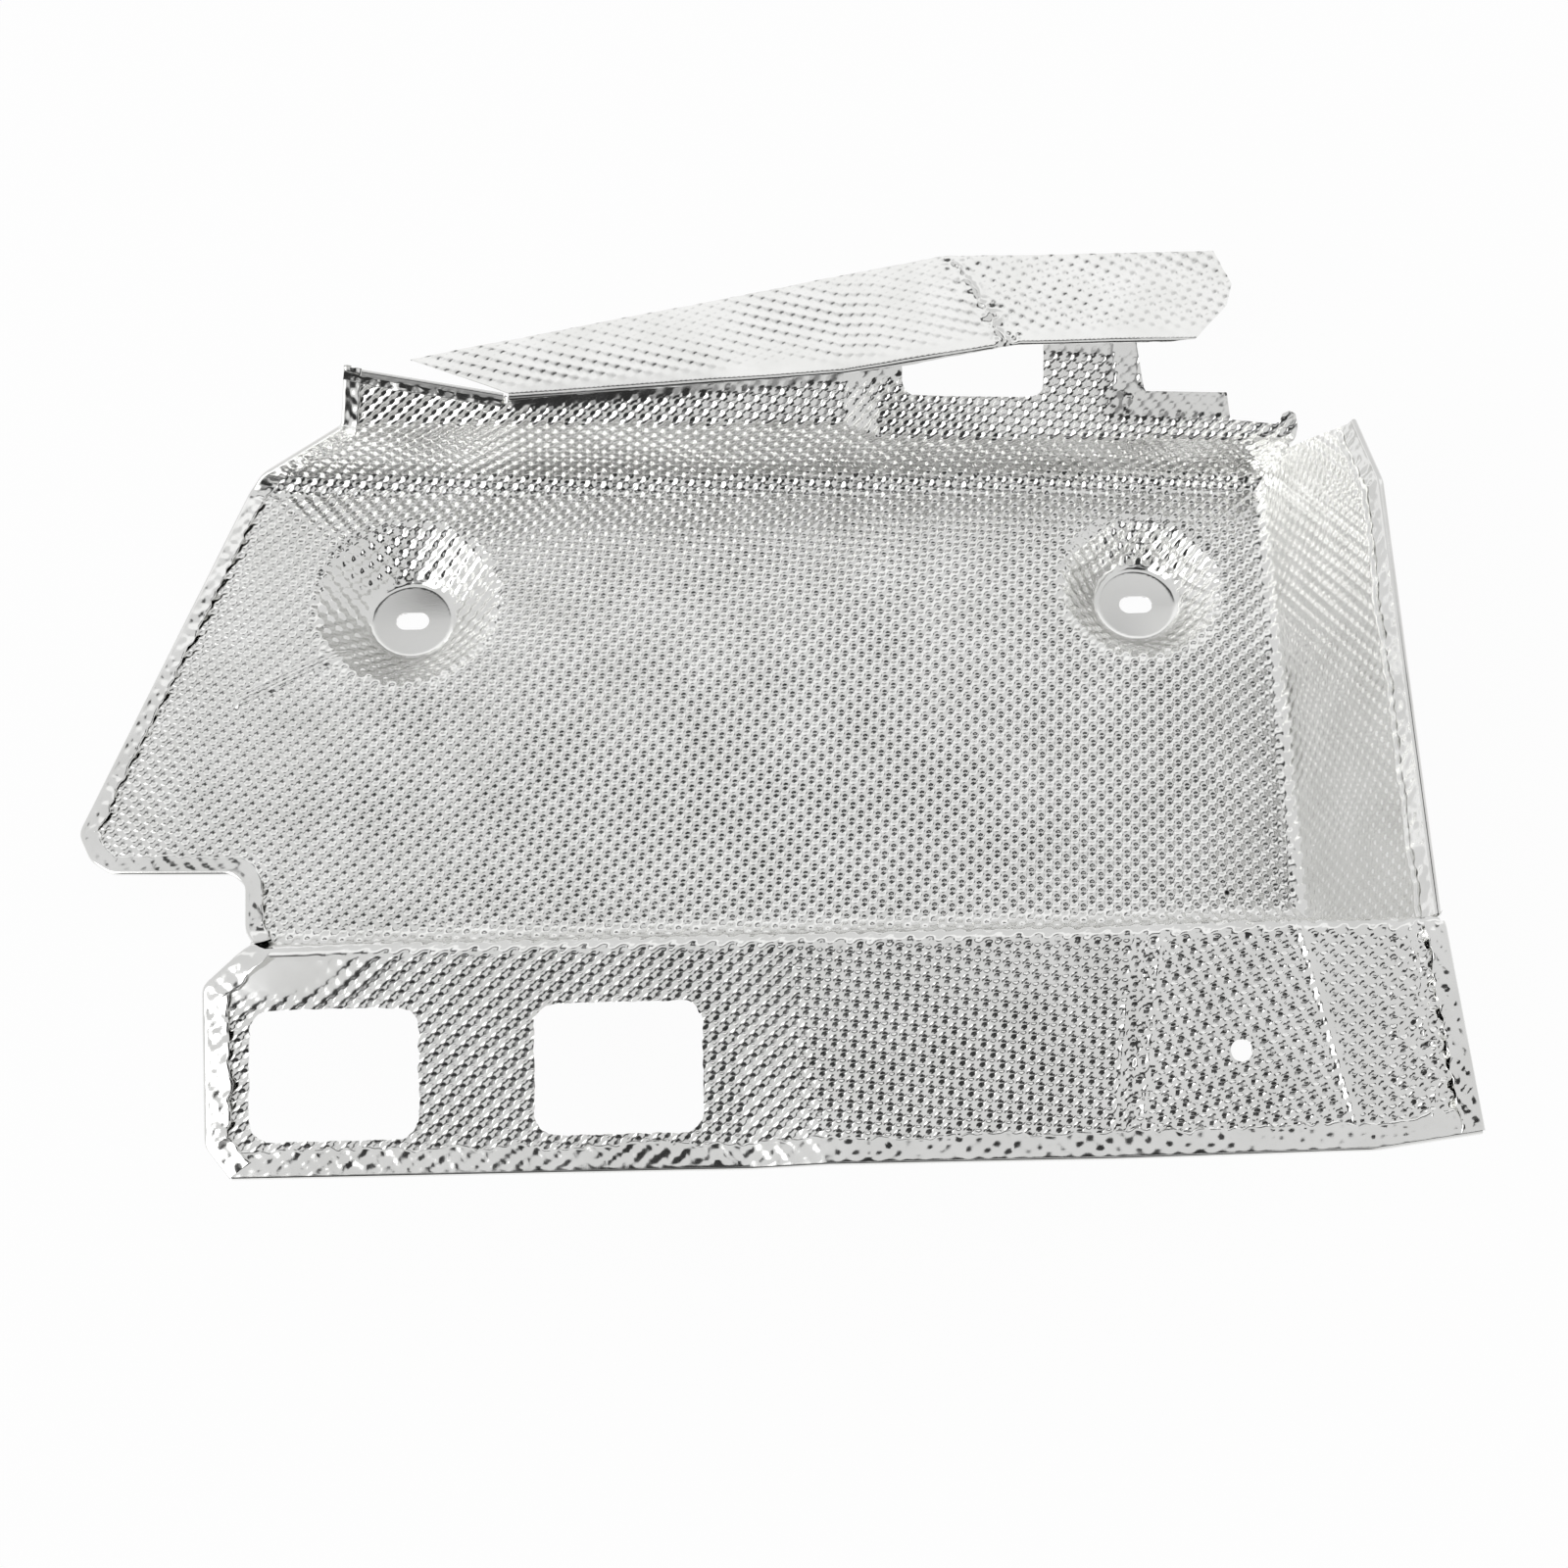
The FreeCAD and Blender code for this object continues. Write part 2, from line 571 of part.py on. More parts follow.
class Hems:
    """Edges folded back on the open side of the sheet, as straight runs between outline corners."""

    def __init__(self, table):
        self.form = Form(table, 0)
        self.sheet = self.form["sheet"]
        self.gap = self.form["hem_gap"]
        self.width = self.form["hem_width"]
        self.root = self.form["hem_root"]

    def floor(self, name):
        return Vector(self.form[name + "_x"], self.form[name + "_y"], self.form.level)

    def skirt(self, x, y):
        return self.form.skirt_point(x, self.form["crest_y"] - y)

    def skirt_corner(self, name):
        return self.skirt(self.form[name + "_x"], self.form[name + "_y"])

    def notch_edge(self, y):
        """Plan line from the notch to the left end of the crest."""
        root = self.floor("notch_root")
        run = self.floor("crest_left") - root
        return root + run * ((y - root.y) / run.y)

    def front_wall(self, point):
        rise = (self.form["front_foot_y"] - point.y) / (self.form["front_foot_y"] - self.form["crest_y"])
        return Vector(point.x, point.y, self.form.level + rise * self.form["crest_height"])

    def right_wall(self, y, height):
        z = self.form.level + height
        return Vector(self.form.wall_x(y, z), y, z)

    def wing_runs(self):
        names = ["wing_back", "wing_tip", "wing_front", "wing_corner", "notch_lip", "notch_root"]
        inside = Vector(0, 0, self.form.level)
        runs = [(self.floor(a), self.floor(b), inside) for a, b in zip(names, names[1:])]
        bend_start = self.form["front_foot_y"] + self.form["front_radius"]
        return runs + [(self.floor("notch_root"), self.notch_edge(bend_start), inside)]

    def notch_run(self):
        low = self.form["front_foot_y"] - self.width
        high = self.form["crest_y"] + self.form["crest_radius"]
        start = self.front_wall(self.notch_edge(low))
        end = self.front_wall(self.notch_edge(high))
        return [(start, end, end + Vector(self.width, 0, 0))]

    def skirt_runs(self):
        """From the left end of the crest down the left side, along the lower edge and up the right."""
        form = self.form
        crest = self.floor("crest_left")
        shoulder = self.floor("skirt_shoulder")
        start = crest + (shoulder - crest) * (form["crest_radius"] / (crest - shoulder).y)
        side = [self.skirt(start.x, start.y)]
        side += [self.skirt_corner(name) for name in ("skirt_shoulder", "skirt_left", "skirt_corner")]
        window_y = form["crest_y"] - form["window_inset"] - form["window_depth"] / 2
        window = self.skirt(form["window_left_x"], window_y)
        runs = [(a, b, window) for a, b in zip(side, side[1:])]
        edge = side[-1:]
        lower = self.floor("skirt_end") - self.floor("skirt_corner")
        half = form["joggle_width"] / 2
        for x in (form["joggle_x"] - half, form["joggle_x"] + half, form["crease_x"]):
            y = form["skirt_corner_y"] + lower.y * (x - form["skirt_corner_x"]) / lower.x
            edge.append(self.skirt(x, y))
        edge += [self.skirt_corner(name) for name in ("skirt_end", "corner_front")]
        for a, b in zip(edge, edge[1:]):
            middle = (a + b) / 2
            runs.append((a, b, self.skirt(middle.x, (form["crest_y"] + middle.y) / 2)))
        return runs + self.corner_run()

    def corner_run(self):
        start = self.skirt_corner("corner_front")
        crest = self.floor("corner_crest") - self.floor("corner_front")
        end_y = self.form["crest_y"] - 2 * self.form["crest_radius"]
        end = self.skirt(start.x + crest.x * (end_y - start.y) / crest.y, end_y)
        return [(start, end, self.skirt(start.x - self.width, (start.y + end.y) / 2))]

    def wall_runs(self):
        form = self.form
        front = self.right_wall(form["corner_crest_y"] + form["crest_radius"], form["wall_top"])
        middle = self.right_wall(form["wall_end_y"], form["wall_top"])
        rear = self.right_wall(form["wall_chamfer_y"], form["wall_chamfer_height"])
        inside = self.right_wall(form["corner_crest_y"] / 2, 0)
        return [(front, middle, inside), (middle, rear, inside)]

    def ear_runs(self):
        form = self.form
        bend = Vector(form["flange_left_x"], form["flange_left_y"], form.level + form["flange_left"])
        foot_y = form.step_line(form["ear_foot_x"])
        foot = Vector(form["ear_foot_x"], foot_y, form.level + form["step_left"])
        step = form.step_line(form["flange_left_x"])
        inside = Vector(form["flange_left_x"], step, form.level + form["step_left"])
        normal = (foot - inside).cross(bend - inside).normalize()
        tip = Vector(form["ear_tip_x"], form["ear_tip_y"], 0)
        tip.z = inside.z - (normal.x * (tip.x - inside.x) + normal.y * (tip.y - inside.y)) / normal.z
        start = bend + (tip - bend).normalize() * self.width
        return [(start, tip, inside), (tip, foot, inside)]

    def step_run(self):
        form = self.form
        top_y = form.step_line(form["ear_foot_x"])
        top = Vector(form["ear_foot_x"], top_y, form.level + form["step_left"])
        low_y = form.back_line(form["wing_back_x"])
        low = Vector(form["wing_back_x"], low_y, form.level)
        inside = Vector(form["ear_foot_x"], form.back_line(form["ear_foot_x"]), form.level)
        start = top + (low - top) * (form["step_radius"] / form["step_left"])
        end = top + (low - top) * (1 - form["back_radius"] / form["step_left"])
        return [(start, end, inside)]

    def relief(self, run, following):
        """How far two runs stop short of the corner that they share."""
        turn = (run[1] - run[0]).getAngle(following[1] - following[0])
        return self.width * math.tan(turn / 2) + self.gap

    def eased(self, runs):
        """A chain of runs, shortened so that their folds don't meet at the corners."""
        joints = [0] + [self.relief(a, b) for a, b in zip(runs, runs[1:])] + [0]
        result = []
        for (start, end, inside), before, after in zip(runs, joints, joints[1:]):
            along = (end - start).normalize()
            result.append((start + along * before, end - along * after, inside))
        return result

    def bar(self, start, end, inside):
        """One folded run: root let into the sheet's edge, rounded fold outside it, leaf above."""
        along = (end - start).normalize()
        normal = along.cross(inside - start).normalize()
        inward = normal.cross(along)
        leaf = self.sheet / 2 + self.gap
        top = leaf + self.sheet
        half = self.root / 2
        slit_end = -self.gap / 2

        def at(across, up):
            return start + inward * across + normal * up

        profile = [
            Part.LineSegment(at(self.root, -half), at(0, -half)),
            Part.Arc(at(0, -half), at(-(top + half) / 2, (top - half) / 2), at(0, top)),
            Part.LineSegment(at(0, top), at(self.width, top)),
            Part.LineSegment(at(self.width, top), at(self.width, leaf)),
            Part.LineSegment(at(self.width, leaf), at(slit_end, leaf)),
            Part.LineSegment(at(slit_end, leaf), at(slit_end, half)),
            Part.LineSegment(at(slit_end, half), at(self.root, half)),
            Part.LineSegment(at(self.root, half), at(self.root, -half)),
        ]
        wire = Part.Wire([piece.toShape() for piece in profile])
        return Part.Face(wire).extrude(end - start)

    def chains(self):
        return {
            "WingHem": self.wing_runs(),
            "NotchHem": self.notch_run(),
            "SkirtHem": self.skirt_runs(),
            "WallHem": self.wall_runs(),
            "EarHem": self.ear_runs(),
            "StepHem": self.step_run(),
        }


def make_hems(doc, table):
    """One object for each straight stretch of folded edge."""
    hems = Hems(table)
    made = []
    for name, runs in hems.chains().items():
        for run in hems.eased(runs):
            hem = doc.addObject("Part::Feature", name)
            hem.Shape = hems.bar(*run)
            made.append(hem)
    return made


def make_window(doc, table, name, middle):
    """Rounded window through the skirt."""
    box = doc.addObject("Part::Box", name + "Box")
    box.setExpression("Length", "Sizes.window_length")
    box.setExpression("Width", "Sizes.window_depth")
    box.setExpression("Height", raised("crest_height"))
    box.setExpression("Placement.Base.x", "Sizes.%s - Sizes.window_length / 2" % middle)
    box.setExpression("Placement.Base.y", "Sizes.crest_y - Sizes.window_inset - Sizes.window_depth")
    return rounded(doc, name, box, table.get("window_corner"), upright_edges)


def make_port(doc, table):
    """Opening through the plate, below the flange."""
    corners = [
        ("Sizes.port_left", "Sizes.port_sill"),
        ("Sizes.port_right", "Sizes.port_sill"),
        ("Sizes.port_right", "Sizes.port_head_right"),
        ("Sizes.port_left", "Sizes.port_head_left"),
    ]
    port = prism(doc, "PortPrism", "XY", corners, CEILING, "0")
    sill = table.get("port_sill")
    return rounded(doc, "Port", port, table.get("port_corner"), lambda shape: upright_edges(shape, sill))


def make_slot(doc, name, side):
    """Slot through the flat of one fixing dish."""
    straight = "(Sizes.slot_length - Sizes.slot_width)"
    middle = "%d * Sizes.slot_spacing / 2" % side
    box = doc.addObject("Part::Box", name + "Box")
    box.setExpression("Length", straight)
    box.setExpression("Width", "Sizes.slot_width")
    box.setExpression("Height", LEVEL)
    box.setExpression("Placement.Base.x", "%s - %s / 2" % (middle, straight))
    box.setExpression("Placement.Base.y", "-Sizes.slot_width / 2")
    pieces = [box]
    for end in (-1, 1):
        round_end = doc.addObject("Part::Cylinder", name + "End")
        round_end.setExpression("Radius", "Sizes.slot_width / 2")
        round_end.setExpression("Height", LEVEL)
        round_end.setExpression("Placement.Base.x", "%s + %d * %s / 2" % (middle, end, straight))
        pieces.append(round_end)
    for piece in pieces:
        piece.setExpression("Placement.Base.z", "-Sizes.sheet")
    slot = doc.addObject("Part::MultiFuse", name)
    slot.Shapes = pieces
    return slot


def make_hole(doc, table):
    """Round hole square to the skirt."""
    form = Form(table, 0)
    centre = form.skirt_point(table.get("hole_x"), table.get("hole_inset"))
    down_skirt = form.skirt_point(table.get("hole_x"), table.get("skirt_depth")) - centre
    across = form.skirt_point(table.get("hole_x") + 1, table.get("hole_inset")) - centre
    normal = down_skirt.cross(across).normalize()
    hole = doc.addObject("Part::Cylinder", "Hole")
    hole.setExpression("Radius", "Sizes.hole_diameter / 2")
    hole.setExpression("Height", "2 * Sizes.hole_diameter")
    turn = FreeCAD.Rotation(Vector(0, 0, 1), normal)
    hole.Placement = FreeCAD.Placement(centre - normal * table.get("hole_diameter"), turn)
    return hole


def cut_all(doc, name, base, tools):
    """A body with several tools cut from it."""
    together = doc.addObject("Part::MultiFuse", name + "Tools")
    together.Shapes = tools
    result = doc.addObject("Part::Cut", name)
    result.Base = base
    result.Tool = together
    return result


def join(doc, base, piece):
    """A body with one more piece welded on."""
    result = doc.addObject("Part::Fuse", "With" + piece.Name)
    result.Base = base
    result.Tool = piece
    return result


def make_shield(doc, table):
    """Pressing, trimmed to its outline, with its edges folded and its openings cut."""
    inside_outline = doc.addObject("Part::Common", "InsideOutline")
    inside_outline.Base = make_pressing(doc, table)
    inside_outline.Tool = make_blank(doc)
    trimmed = cut_all(doc, "Trimmed", inside_outline, [make_wall_trim(doc), make_ear_trim(doc)])
    hemmed = trimmed
    for piece in [make_flange_tip(doc)] + make_hems(doc, table):
        hemmed = join(doc, hemmed, piece)
    openings = [
        make_window(doc, table, "WindowLeft", "window_left_x"),
        make_window(doc, table, "WindowRight", "window_right_x"),
        make_port(doc, table),
        make_slot(doc, "SlotLeft", -1),
        make_slot(doc, "SlotRight", 1),
        make_hole(doc, table),
    ]
    shield = cut_all(doc, "HeatShield", hemmed, openings)
    shield.Label = "heat_shield"
    return shield


def check(doc, parts):
    """Stop if any object failed or any finished piece is not one sound solid."""
    for item in doc.Objects:
        failed = [state for state in item.State if state in ("Invalid", "Error")]
        if failed:
            raise RuntimeError("%s is %s" % (item.Name, failed))
    for part in parts:
        if part.Shape.isNull() or not part.Shape.isValid():
            raise RuntimeError("%s has no valid shape" % part.Label)
        if len(part.Shape.Solids) != 1:
            raise RuntimeError("%s has %d solids" % (part.Label, len(part.Shape.Solids)))


def main():
    doc = FreeCAD.newDocument("HeatShield")
    table = make_sheet(doc)
    parts = [make_shield(doc, table)]
    doc.recompute()
    check(doc, parts)
    os.makedirs("parts", exist_ok=True)
    for part in parts:
        part.Shape.exportStep("parts/%s.step" % part.Label)
        print(part.Label, "volume mm3", round(part.Shape.Volume), "faces", len(part.Shape.Faces))


main()
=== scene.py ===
"""Heat shield: bright embossed aluminium sheet, pressed to a tray, its edges folded over by hand.

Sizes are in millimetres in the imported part's frame: X along the fixing slots, Y to the rear, Z up.
The sheet is laid out flat in u (across) and v (front to back along the sheet), bent to its pressed
form, embossed with dimples on a slanted square grid and trimmed to its outline.
"""
import bpy
import math
import numpy as np
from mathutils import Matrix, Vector


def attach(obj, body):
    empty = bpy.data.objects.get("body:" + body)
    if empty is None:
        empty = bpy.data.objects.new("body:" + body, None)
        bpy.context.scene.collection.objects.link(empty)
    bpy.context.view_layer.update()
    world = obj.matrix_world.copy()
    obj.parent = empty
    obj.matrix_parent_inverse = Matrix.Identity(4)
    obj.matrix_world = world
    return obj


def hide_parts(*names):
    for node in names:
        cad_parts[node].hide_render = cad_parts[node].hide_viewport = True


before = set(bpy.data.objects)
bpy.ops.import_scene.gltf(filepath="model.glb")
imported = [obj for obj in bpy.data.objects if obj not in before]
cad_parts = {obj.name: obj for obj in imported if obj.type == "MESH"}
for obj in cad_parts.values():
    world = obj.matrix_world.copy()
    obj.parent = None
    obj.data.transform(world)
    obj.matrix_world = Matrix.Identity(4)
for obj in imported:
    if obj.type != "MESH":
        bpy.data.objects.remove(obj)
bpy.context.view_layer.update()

MM = 0.001
NODE = "heat_shield"

# Sheet and its dimples; the dimples lean more where the sheet is steep
SHEET = 0.6
LEVEL = 14.5
PITCH = 5.8
ROW_ANGLE = math.radians(-5.3)
DIMPLE = 0.32
DIMPLE_LEAN = 0.05
STEEP_LEAN = 0.22
STEEP_HEIGHT = 20.0
PIT_STEEPNESS = 2.1
PIT_EDGE = 8.0
TOP_STEP = PITCH / 8
UNDER_STEP = PITCH / 4

# Fineness of the working: finite steps, least sizes, rounds and random cells
NEAR = 0.08
LEAST_SLOPE = 0.01
LEAST_LENGTH = 1e-9
SNAP_REACH = 1.5
SNAP_ROUNDS = 3
BISECTIONS = 40
NOISE_CELLS = 64
CREASE_POWER = 6

# Front wall, crest and skirt; paired lists give places across and the values there
FORM_RIGHT = 258.0
CREST_Y = -155.5
CREST_BACK = 1.0
CREST_HEIGHT = 73.0
CREST_RADIUS = 5.0
CREST_LENGTH = -204.0
FRONT_FOOT_Y = -130.5
FRONT_RADIUS = 11.0
SKIRT_DEPTH = 64.0
JOGGLE_X = 2.0
JOGGLE_SLANT = 0.12
SKIRT_DROP = ([-20.0, JOGGLE_X, 86.0, FORM_RIGHT], [20.0, 17.0, 17.0, 8.0])

# Step, plate and flange at the back
BACK_Y = 47.7
BACK_SKEW = math.radians(1.28)
BACK_RADIUS = 8.0
STEP_LEAN = 0.6
STEP_RADIUS = 4.0
STEP_HEIGHT = ([26.0, 38.0], [35.0, 25.0])
FLANGE_RADIUS = 2.5
FLANGE_LEFT = -90.8
FLANGE_RIGHT = 129.0
BEND_X = [FLANGE_LEFT, 26.0, 38.0, 86.0, FORM_RIGHT]
BEND_Y = [56.4, 62.7, 64.1, 73.0, 73.0]
BEND_HEIGHT = [43.0, 44.9, 45.0, 45.0, 45.0]

# Right wall; its top is given by places in depth and heights there
WALL_FOOT_X = 175.5
WALL_MIDDLE_Y = -41.4
WALL_SKEW = math.radians(1.6)
WALL_ANGLE = math.radians(73.0)
WALL_RADIUS = 6.0
WALL_TOP = ([-3.0, 27.0, 38.0, 43.0], [70.0, 60.0, 33.0, 20.0])
WALL_TOP_SLANT = 0.6

# Fixing dishes, on the left and on the right
SLOT_X = 130.5
SLOT_LENGTH = 12.0
SLOT_WIDTH = 7.0
DISH_DEPTH = 14.0
DISH_FLAT = 15.0
DISH_RIMS = {-1: 32.0, 1: 27.0}
DISH_RIM_RADIUS = 8.0
DISH_FLAT_RADIUS = 4.0
DISH_SPAN = 3
DISH_POINTS = 600

# Openings: middle and size in plan
WINDOWS = [(-133.0, -192.05), (-50.0, -192.05)]
WINDOW_SIZE = (49.5, 36.5)
WINDOW_CORNER = 6.5
HOLE = (131.7, -192.5)
HOLE_RADIUS = 3.25
PORT = (46.3, 96.3)
PORT_SILL = 58.0
PORT_CORNER = 4.0
PORT_RAGGED = 0.3

# Outline in plan
FAR = 60.0
BEHIND = 140.0
WING = [
    (-186.4, 52.0), (-235.6, -86.8), (-230.9, -96.2), (-223.8, -101.0), (-183.4, -102.0),
    (-178.2, -106.5), (-177.0, -123.0),
]
CREST_LEFT = (-156.8, CREST_Y)
SKIRT = [
    (-170.4, -167.0), (-169.3, -210.5), (-162.2, -219.2), (168.0, -221.0), (198.5, -217.5),
    (192.5, -150.0),
]
BEYOND_WALL = [(FORM_RIGHT, -150.0), (FORM_RIGHT, 51.4)]
TAB = [(190.0, 44.6), (186.6, 45.0), (185.4, 51.0), (183.2, 52.0), (180.8, 51.2), (179.5, 48.2)]
LEDGE = [(162.3, 50.0), (160.8, 57.7), (131.8, 58.7)]
FLANGE_EDGE = [
    (FLANGE_RIGHT, 71.4), (149.7, 73.1), (162.3, 87.5), (165.0, 96.0), (160.0, 110.7), (62.3, 110.8),
    (30.5, 104.0),
]
FLANGE_FRONT = 50.0
FLANGE_TIP = (-125.7, 73.0)
TIP_GAP = 1.2
EAR_TIP = (-145.5, 64.0)
FORM_OUTLINE = WING + [CREST_LEFT] + SKIRT + BEYOND_WALL + TAB + LEDGE + FLANGE_EDGE[:1] + [
    (FLANGE_RIGHT, BEHIND), (FLANGE_LEFT, BEHIND), (FLANGE_LEFT, BEND_Y[0]), EAR_TIP,
    (WING[0][0], EAR_TIP[1]),
]
TIP_SLOPE = (FLANGE_EDGE[-1][1] - FLANGE_TIP[1]) / (FLANGE_EDGE[-1][0] - FLANGE_TIP[0])
TIP_ROOT = (FLANGE_LEFT, FLANGE_TIP[1] + (FLANGE_LEFT - FLANGE_TIP[0]) * TIP_SLOPE)
FLANGE_OUTLINE = [(FLANGE_LEFT, FLANGE_FRONT), (FLANGE_RIGHT, FLANGE_FRONT)] + FLANGE_EDGE + [TIP_ROOT]
TIP_OUTLINE = [(FLANGE_LEFT, BEND_Y[0] + TIP_GAP), TIP_ROOT, FLANGE_TIP]

# Slanted left end of the back wall: heights above the floor and X there
EAR_EDGE = ([2.0, 35.0, 53.0], [-186.4, -149.0, -145.5])
EAR_SLANT = 0.75
EAR_TOP = 52.0
EAR_FOOT = 4.0
EAR_POINTS = 60

# Stretches of sheet, across and front to back, and where the large one is parted
SHEET_REACH = (-300.0, 200.0)
SECTION_POINTS = 2001
FORM_EXTENT = ((-240.0, 205.0), (-290.0, 130.0))
FORM_CUTS = (-204.0, -125.0, -35.0)
WALL_EXTENT = ((165.0, 262.0), (-162.0, 56.0))
FLANGE_EXTENT = ((-92.0, 170.0), (60.0, 165.0))
TIP_EXTENT = ((-128.0, -89.0), (60.0, 130.0))

# Creases of skirt and flange, and a bundle of fine ridges by the left dish
INNER_CREASE = ((107.0, -153.0), (97.0, -216.0))
OUTER_CREASE = ((150.0, -152.0), (163.0, -214.0))
FLANGE_FOLD = ((84.0, 74.0), (68.0, 108.0))
FLANGE_FOLD_LEAN = 0.47
BUNDLE = [((-187.0, -38.0 + shift), (-150.0, -18.0 + shift)) for shift in (-1.7, 0.0, 1.7)]
BUNDLE_FLATTENING = 0.8

# Raised creases: height and width
OUTER_RIDGE = (0.5, 0.8)
INNER_RIDGE = (0.25, 0.7)
INNER_RIDGE_OFFSET = 4.0
BUNDLE_RIDGE = (0.4, 0.6)
FOLD_RIDGE = (0.5, 0.9)
FOLD_BAND = (0.35, 4.0)

# Turn of the dimple rows past a crease
SKIRT_TURN = math.radians(-12.0)
FLANGE_TURN = math.radians(33.0)
FLANGE_END_TURN = math.radians(17.0)

# Where dimples fade: least share of their height, and the distances over which they grow to the full
DISH_FADE = (0.0, -1.0, 5.0)
CREST_FADE = (0.5, 2.0, 8.0)
WALL_FADE = (0.6, 0.0, 8.0)
HEM_FADE = (0.3, 3.0, 6.0)
BEND_FADE = (0.1, 1.0, 6.0)
INNER_FADE = (0.7, 2.0, 7.0)
OUTER_FADE = (0.3, 0.5, 3.0)
BARE_FADE = (0.0, 0.4, 2.0)
FLANGE_BEND_FADE = (0.1, 4.0, 9.0)
FLANGE_FOLD_FADE = (0.2, 2.0, 6.0)
WALL_FOOT_FADE = (2 / 3, 1.0, 10.0)
WALL_HEM_FADE = (0.25, 5.0, 9.0)
BARE_CORNER = (-151.0, -163.0)
BARE_SIZE = (25.0, 9.0)
WALL_DIMPLE = 0.9 * DIMPLE
FLANGE_DIMPLE = 0.22 * DIMPLE

# Uneven forms: height, length and seed
UNEVEN_DIMPLES = (0.12, 14.0, 11)
INNER_WANDER = (2.0, 4.0, 3)
FORM_DENTS = (0.35, 30.0, 1)
LEDGE_FOLDS = (0.25, 7.0, 2)
CORNER_FOLDS = (0.5, 9.0, 21)
CORNER_DENTS = (0.5, 4.0, 22)
FLANGE_DENTS = (0.4, 25.0, 4)
FOLD_WANDER = (2.0, 4.0, 9)
FOLD_WRINKLES = (1.0, 2.0, 10)
WALL_DENTS = (0.4, 22.0, 12)
WALL_FOLDS = (0.4, 14.0, 13)
WINDOW_RAGGED = [(0.35, 2.3, 5), (0.2, 0.9, 6)]
FLANGE_RAGGED = (0.15, 3.0, 8)

# Spans over which crumpling sets in, and how far the ledge at the right rear is pressed flat
LEDGE_X = (112.0, 124.0)
LEDGE_V = (70.0, 76.0)
LEDGE_FLATTENING = 0.85
CORNER_X = (165.0, 190.0)
WALL_FOLDS_Y = (-20.0, 10.0)

# Folded edges: section of the fold, then crumpling of the leaf as shares and lengths
HEM_STEP = 0.7
HEM_EASE = 3.0
HEM_NUDGE = 0.2
HEM_TOP = 1.45
HEM_FOOT = -0.6
LIP_WIDTH = 1.4
LIP_RISE = 0.1
FOLD_ROWS = 9
LEAF_ROWS = 9
LEAF_EDGE = [(0.05, 0.3), (-0.1, SHEET), (-2.5, SHEET + 0.1)]
LEAF_WAVES = [(0.10, 9.0), (0.10, 2.2)]
LEAF_ROOT = 1.5
GAPE = 0.7
GAPE_LEAST = 0.25
GAPE_MORE = 0.7
GAPE_LENGTH = 7.0
PRESSED_GAPE = 0.4
PUCKER = (0.10, 1.5, 1.6)
LEAF_CREASE = (0.09, 4.0, 6.0)
LEAF_DIMPLE = 0.09

# Courses of the folded edges
REAR_HEM = [(FLANGE_LEFT - 2.0, BEND_Y[0] + 0.3), (EAR_TIP[0] - 1.0, EAR_TIP[1] - 0.3)]
WING_HEM = [(-188.6, 46.0)] + WING[1:] + [CREST_LEFT]
LEFT_HEM = [CREST_LEFT] + SKIRT[:3]
FRONT_HEM = SKIRT[2:5]
CORNER_HEM = [SKIRT[4], (193.3, -157.5)]
WALL_HEM_FRONT = -154.0

# Folded edges in turn: width, tilt, crumpling and seed
HEMS = {
    "rear_hem": (3.4, 1.0, 0.8, 71),
    "wing_hem": (5.2, 0.1, 0.8, 31),
    "left_hem": (7.0, 0.2, 1.0, 41),
    "front_hem": (7.0, -0.9, 1.1, 81),
    "corner_hem": (5.5, 0.2, 2.0, 51),
    "wall_hem": (7.0, 2.2, 0.8, 61),
}

# Aluminium: smears in its gloss and tone, fine grain, one speck of dirt
SMEAR_SCALE = 55.0
SMEAR_DETAIL = 5.0
SMEAR_RANGE = (0.3, 0.7)
GLOSS_RANGE = (0.09, 0.15)
TONES = [(0.80, 0.80, 0.785, 1.0), (0.89, 0.89, 0.88, 1.0)]
GRAIN_SCALE = 2500.0
GRAIN_DETAIL = 2.0
GRAIN_STRENGTH = 0.05
GRAIN_HEIGHT = 0.1
SPECK = (147.7, -118.0, LEVEL)
SPECK_EDGE = (0.6, 1.3)
DIRT = (0.02, 0.02, 0.02, 1.0)

# Sky: grey levels, and panels given by their span across and in depth, soft edge and level
SKY_DEPTH = (-0.5, 0.6)
SKY_LEVELS = (0.75, 0.76)
SKY_PANELS = [
    (((-0.60, 0.60), (0.53, 0.74)), 0.05, 1.04),
    (((-0.11, 0.34), (-0.46, -0.15)), 0.03, 0.03),
    (((-0.24, 0.06), (-0.54, -0.37)), 0.04, 0.03),
    (((-0.35, 0.22), (-0.98, -0.70)), 0.04, 0.03),
    (((-0.24, 0.05), (-0.68, -0.50)), 0.04, 0.30),
    (((-0.85, -0.50), (-0.80, -0.30)), 0.06, 3.0),
    (((-0.52, -0.30), (-0.58, -0.20)), 0.05, 3.0),
    (((-0.26, 0.21), (0.29, 0.455)), 0.02, 0.04),
]

# Table, and camera
TABLE_REACH = 6000.0
TABLE_DEPTH = 1.0
TABLE_COLOUR = (0.93, 0.93, 0.93, 1.0)
TABLE_GLOW = 0.94
LENS = 49.5
SENSOR = 36.0
CAMERA = (-6.72, -379.0, 682.9)
TARGET = (1.34, -74.31, LEVEL)


def smooth(value, low, high):
    """0 below low, 1 above high, eased between."""
    share = np.clip((value - low) / (high - low), 0, 1)
    return share * share * (3 - 2 * share)


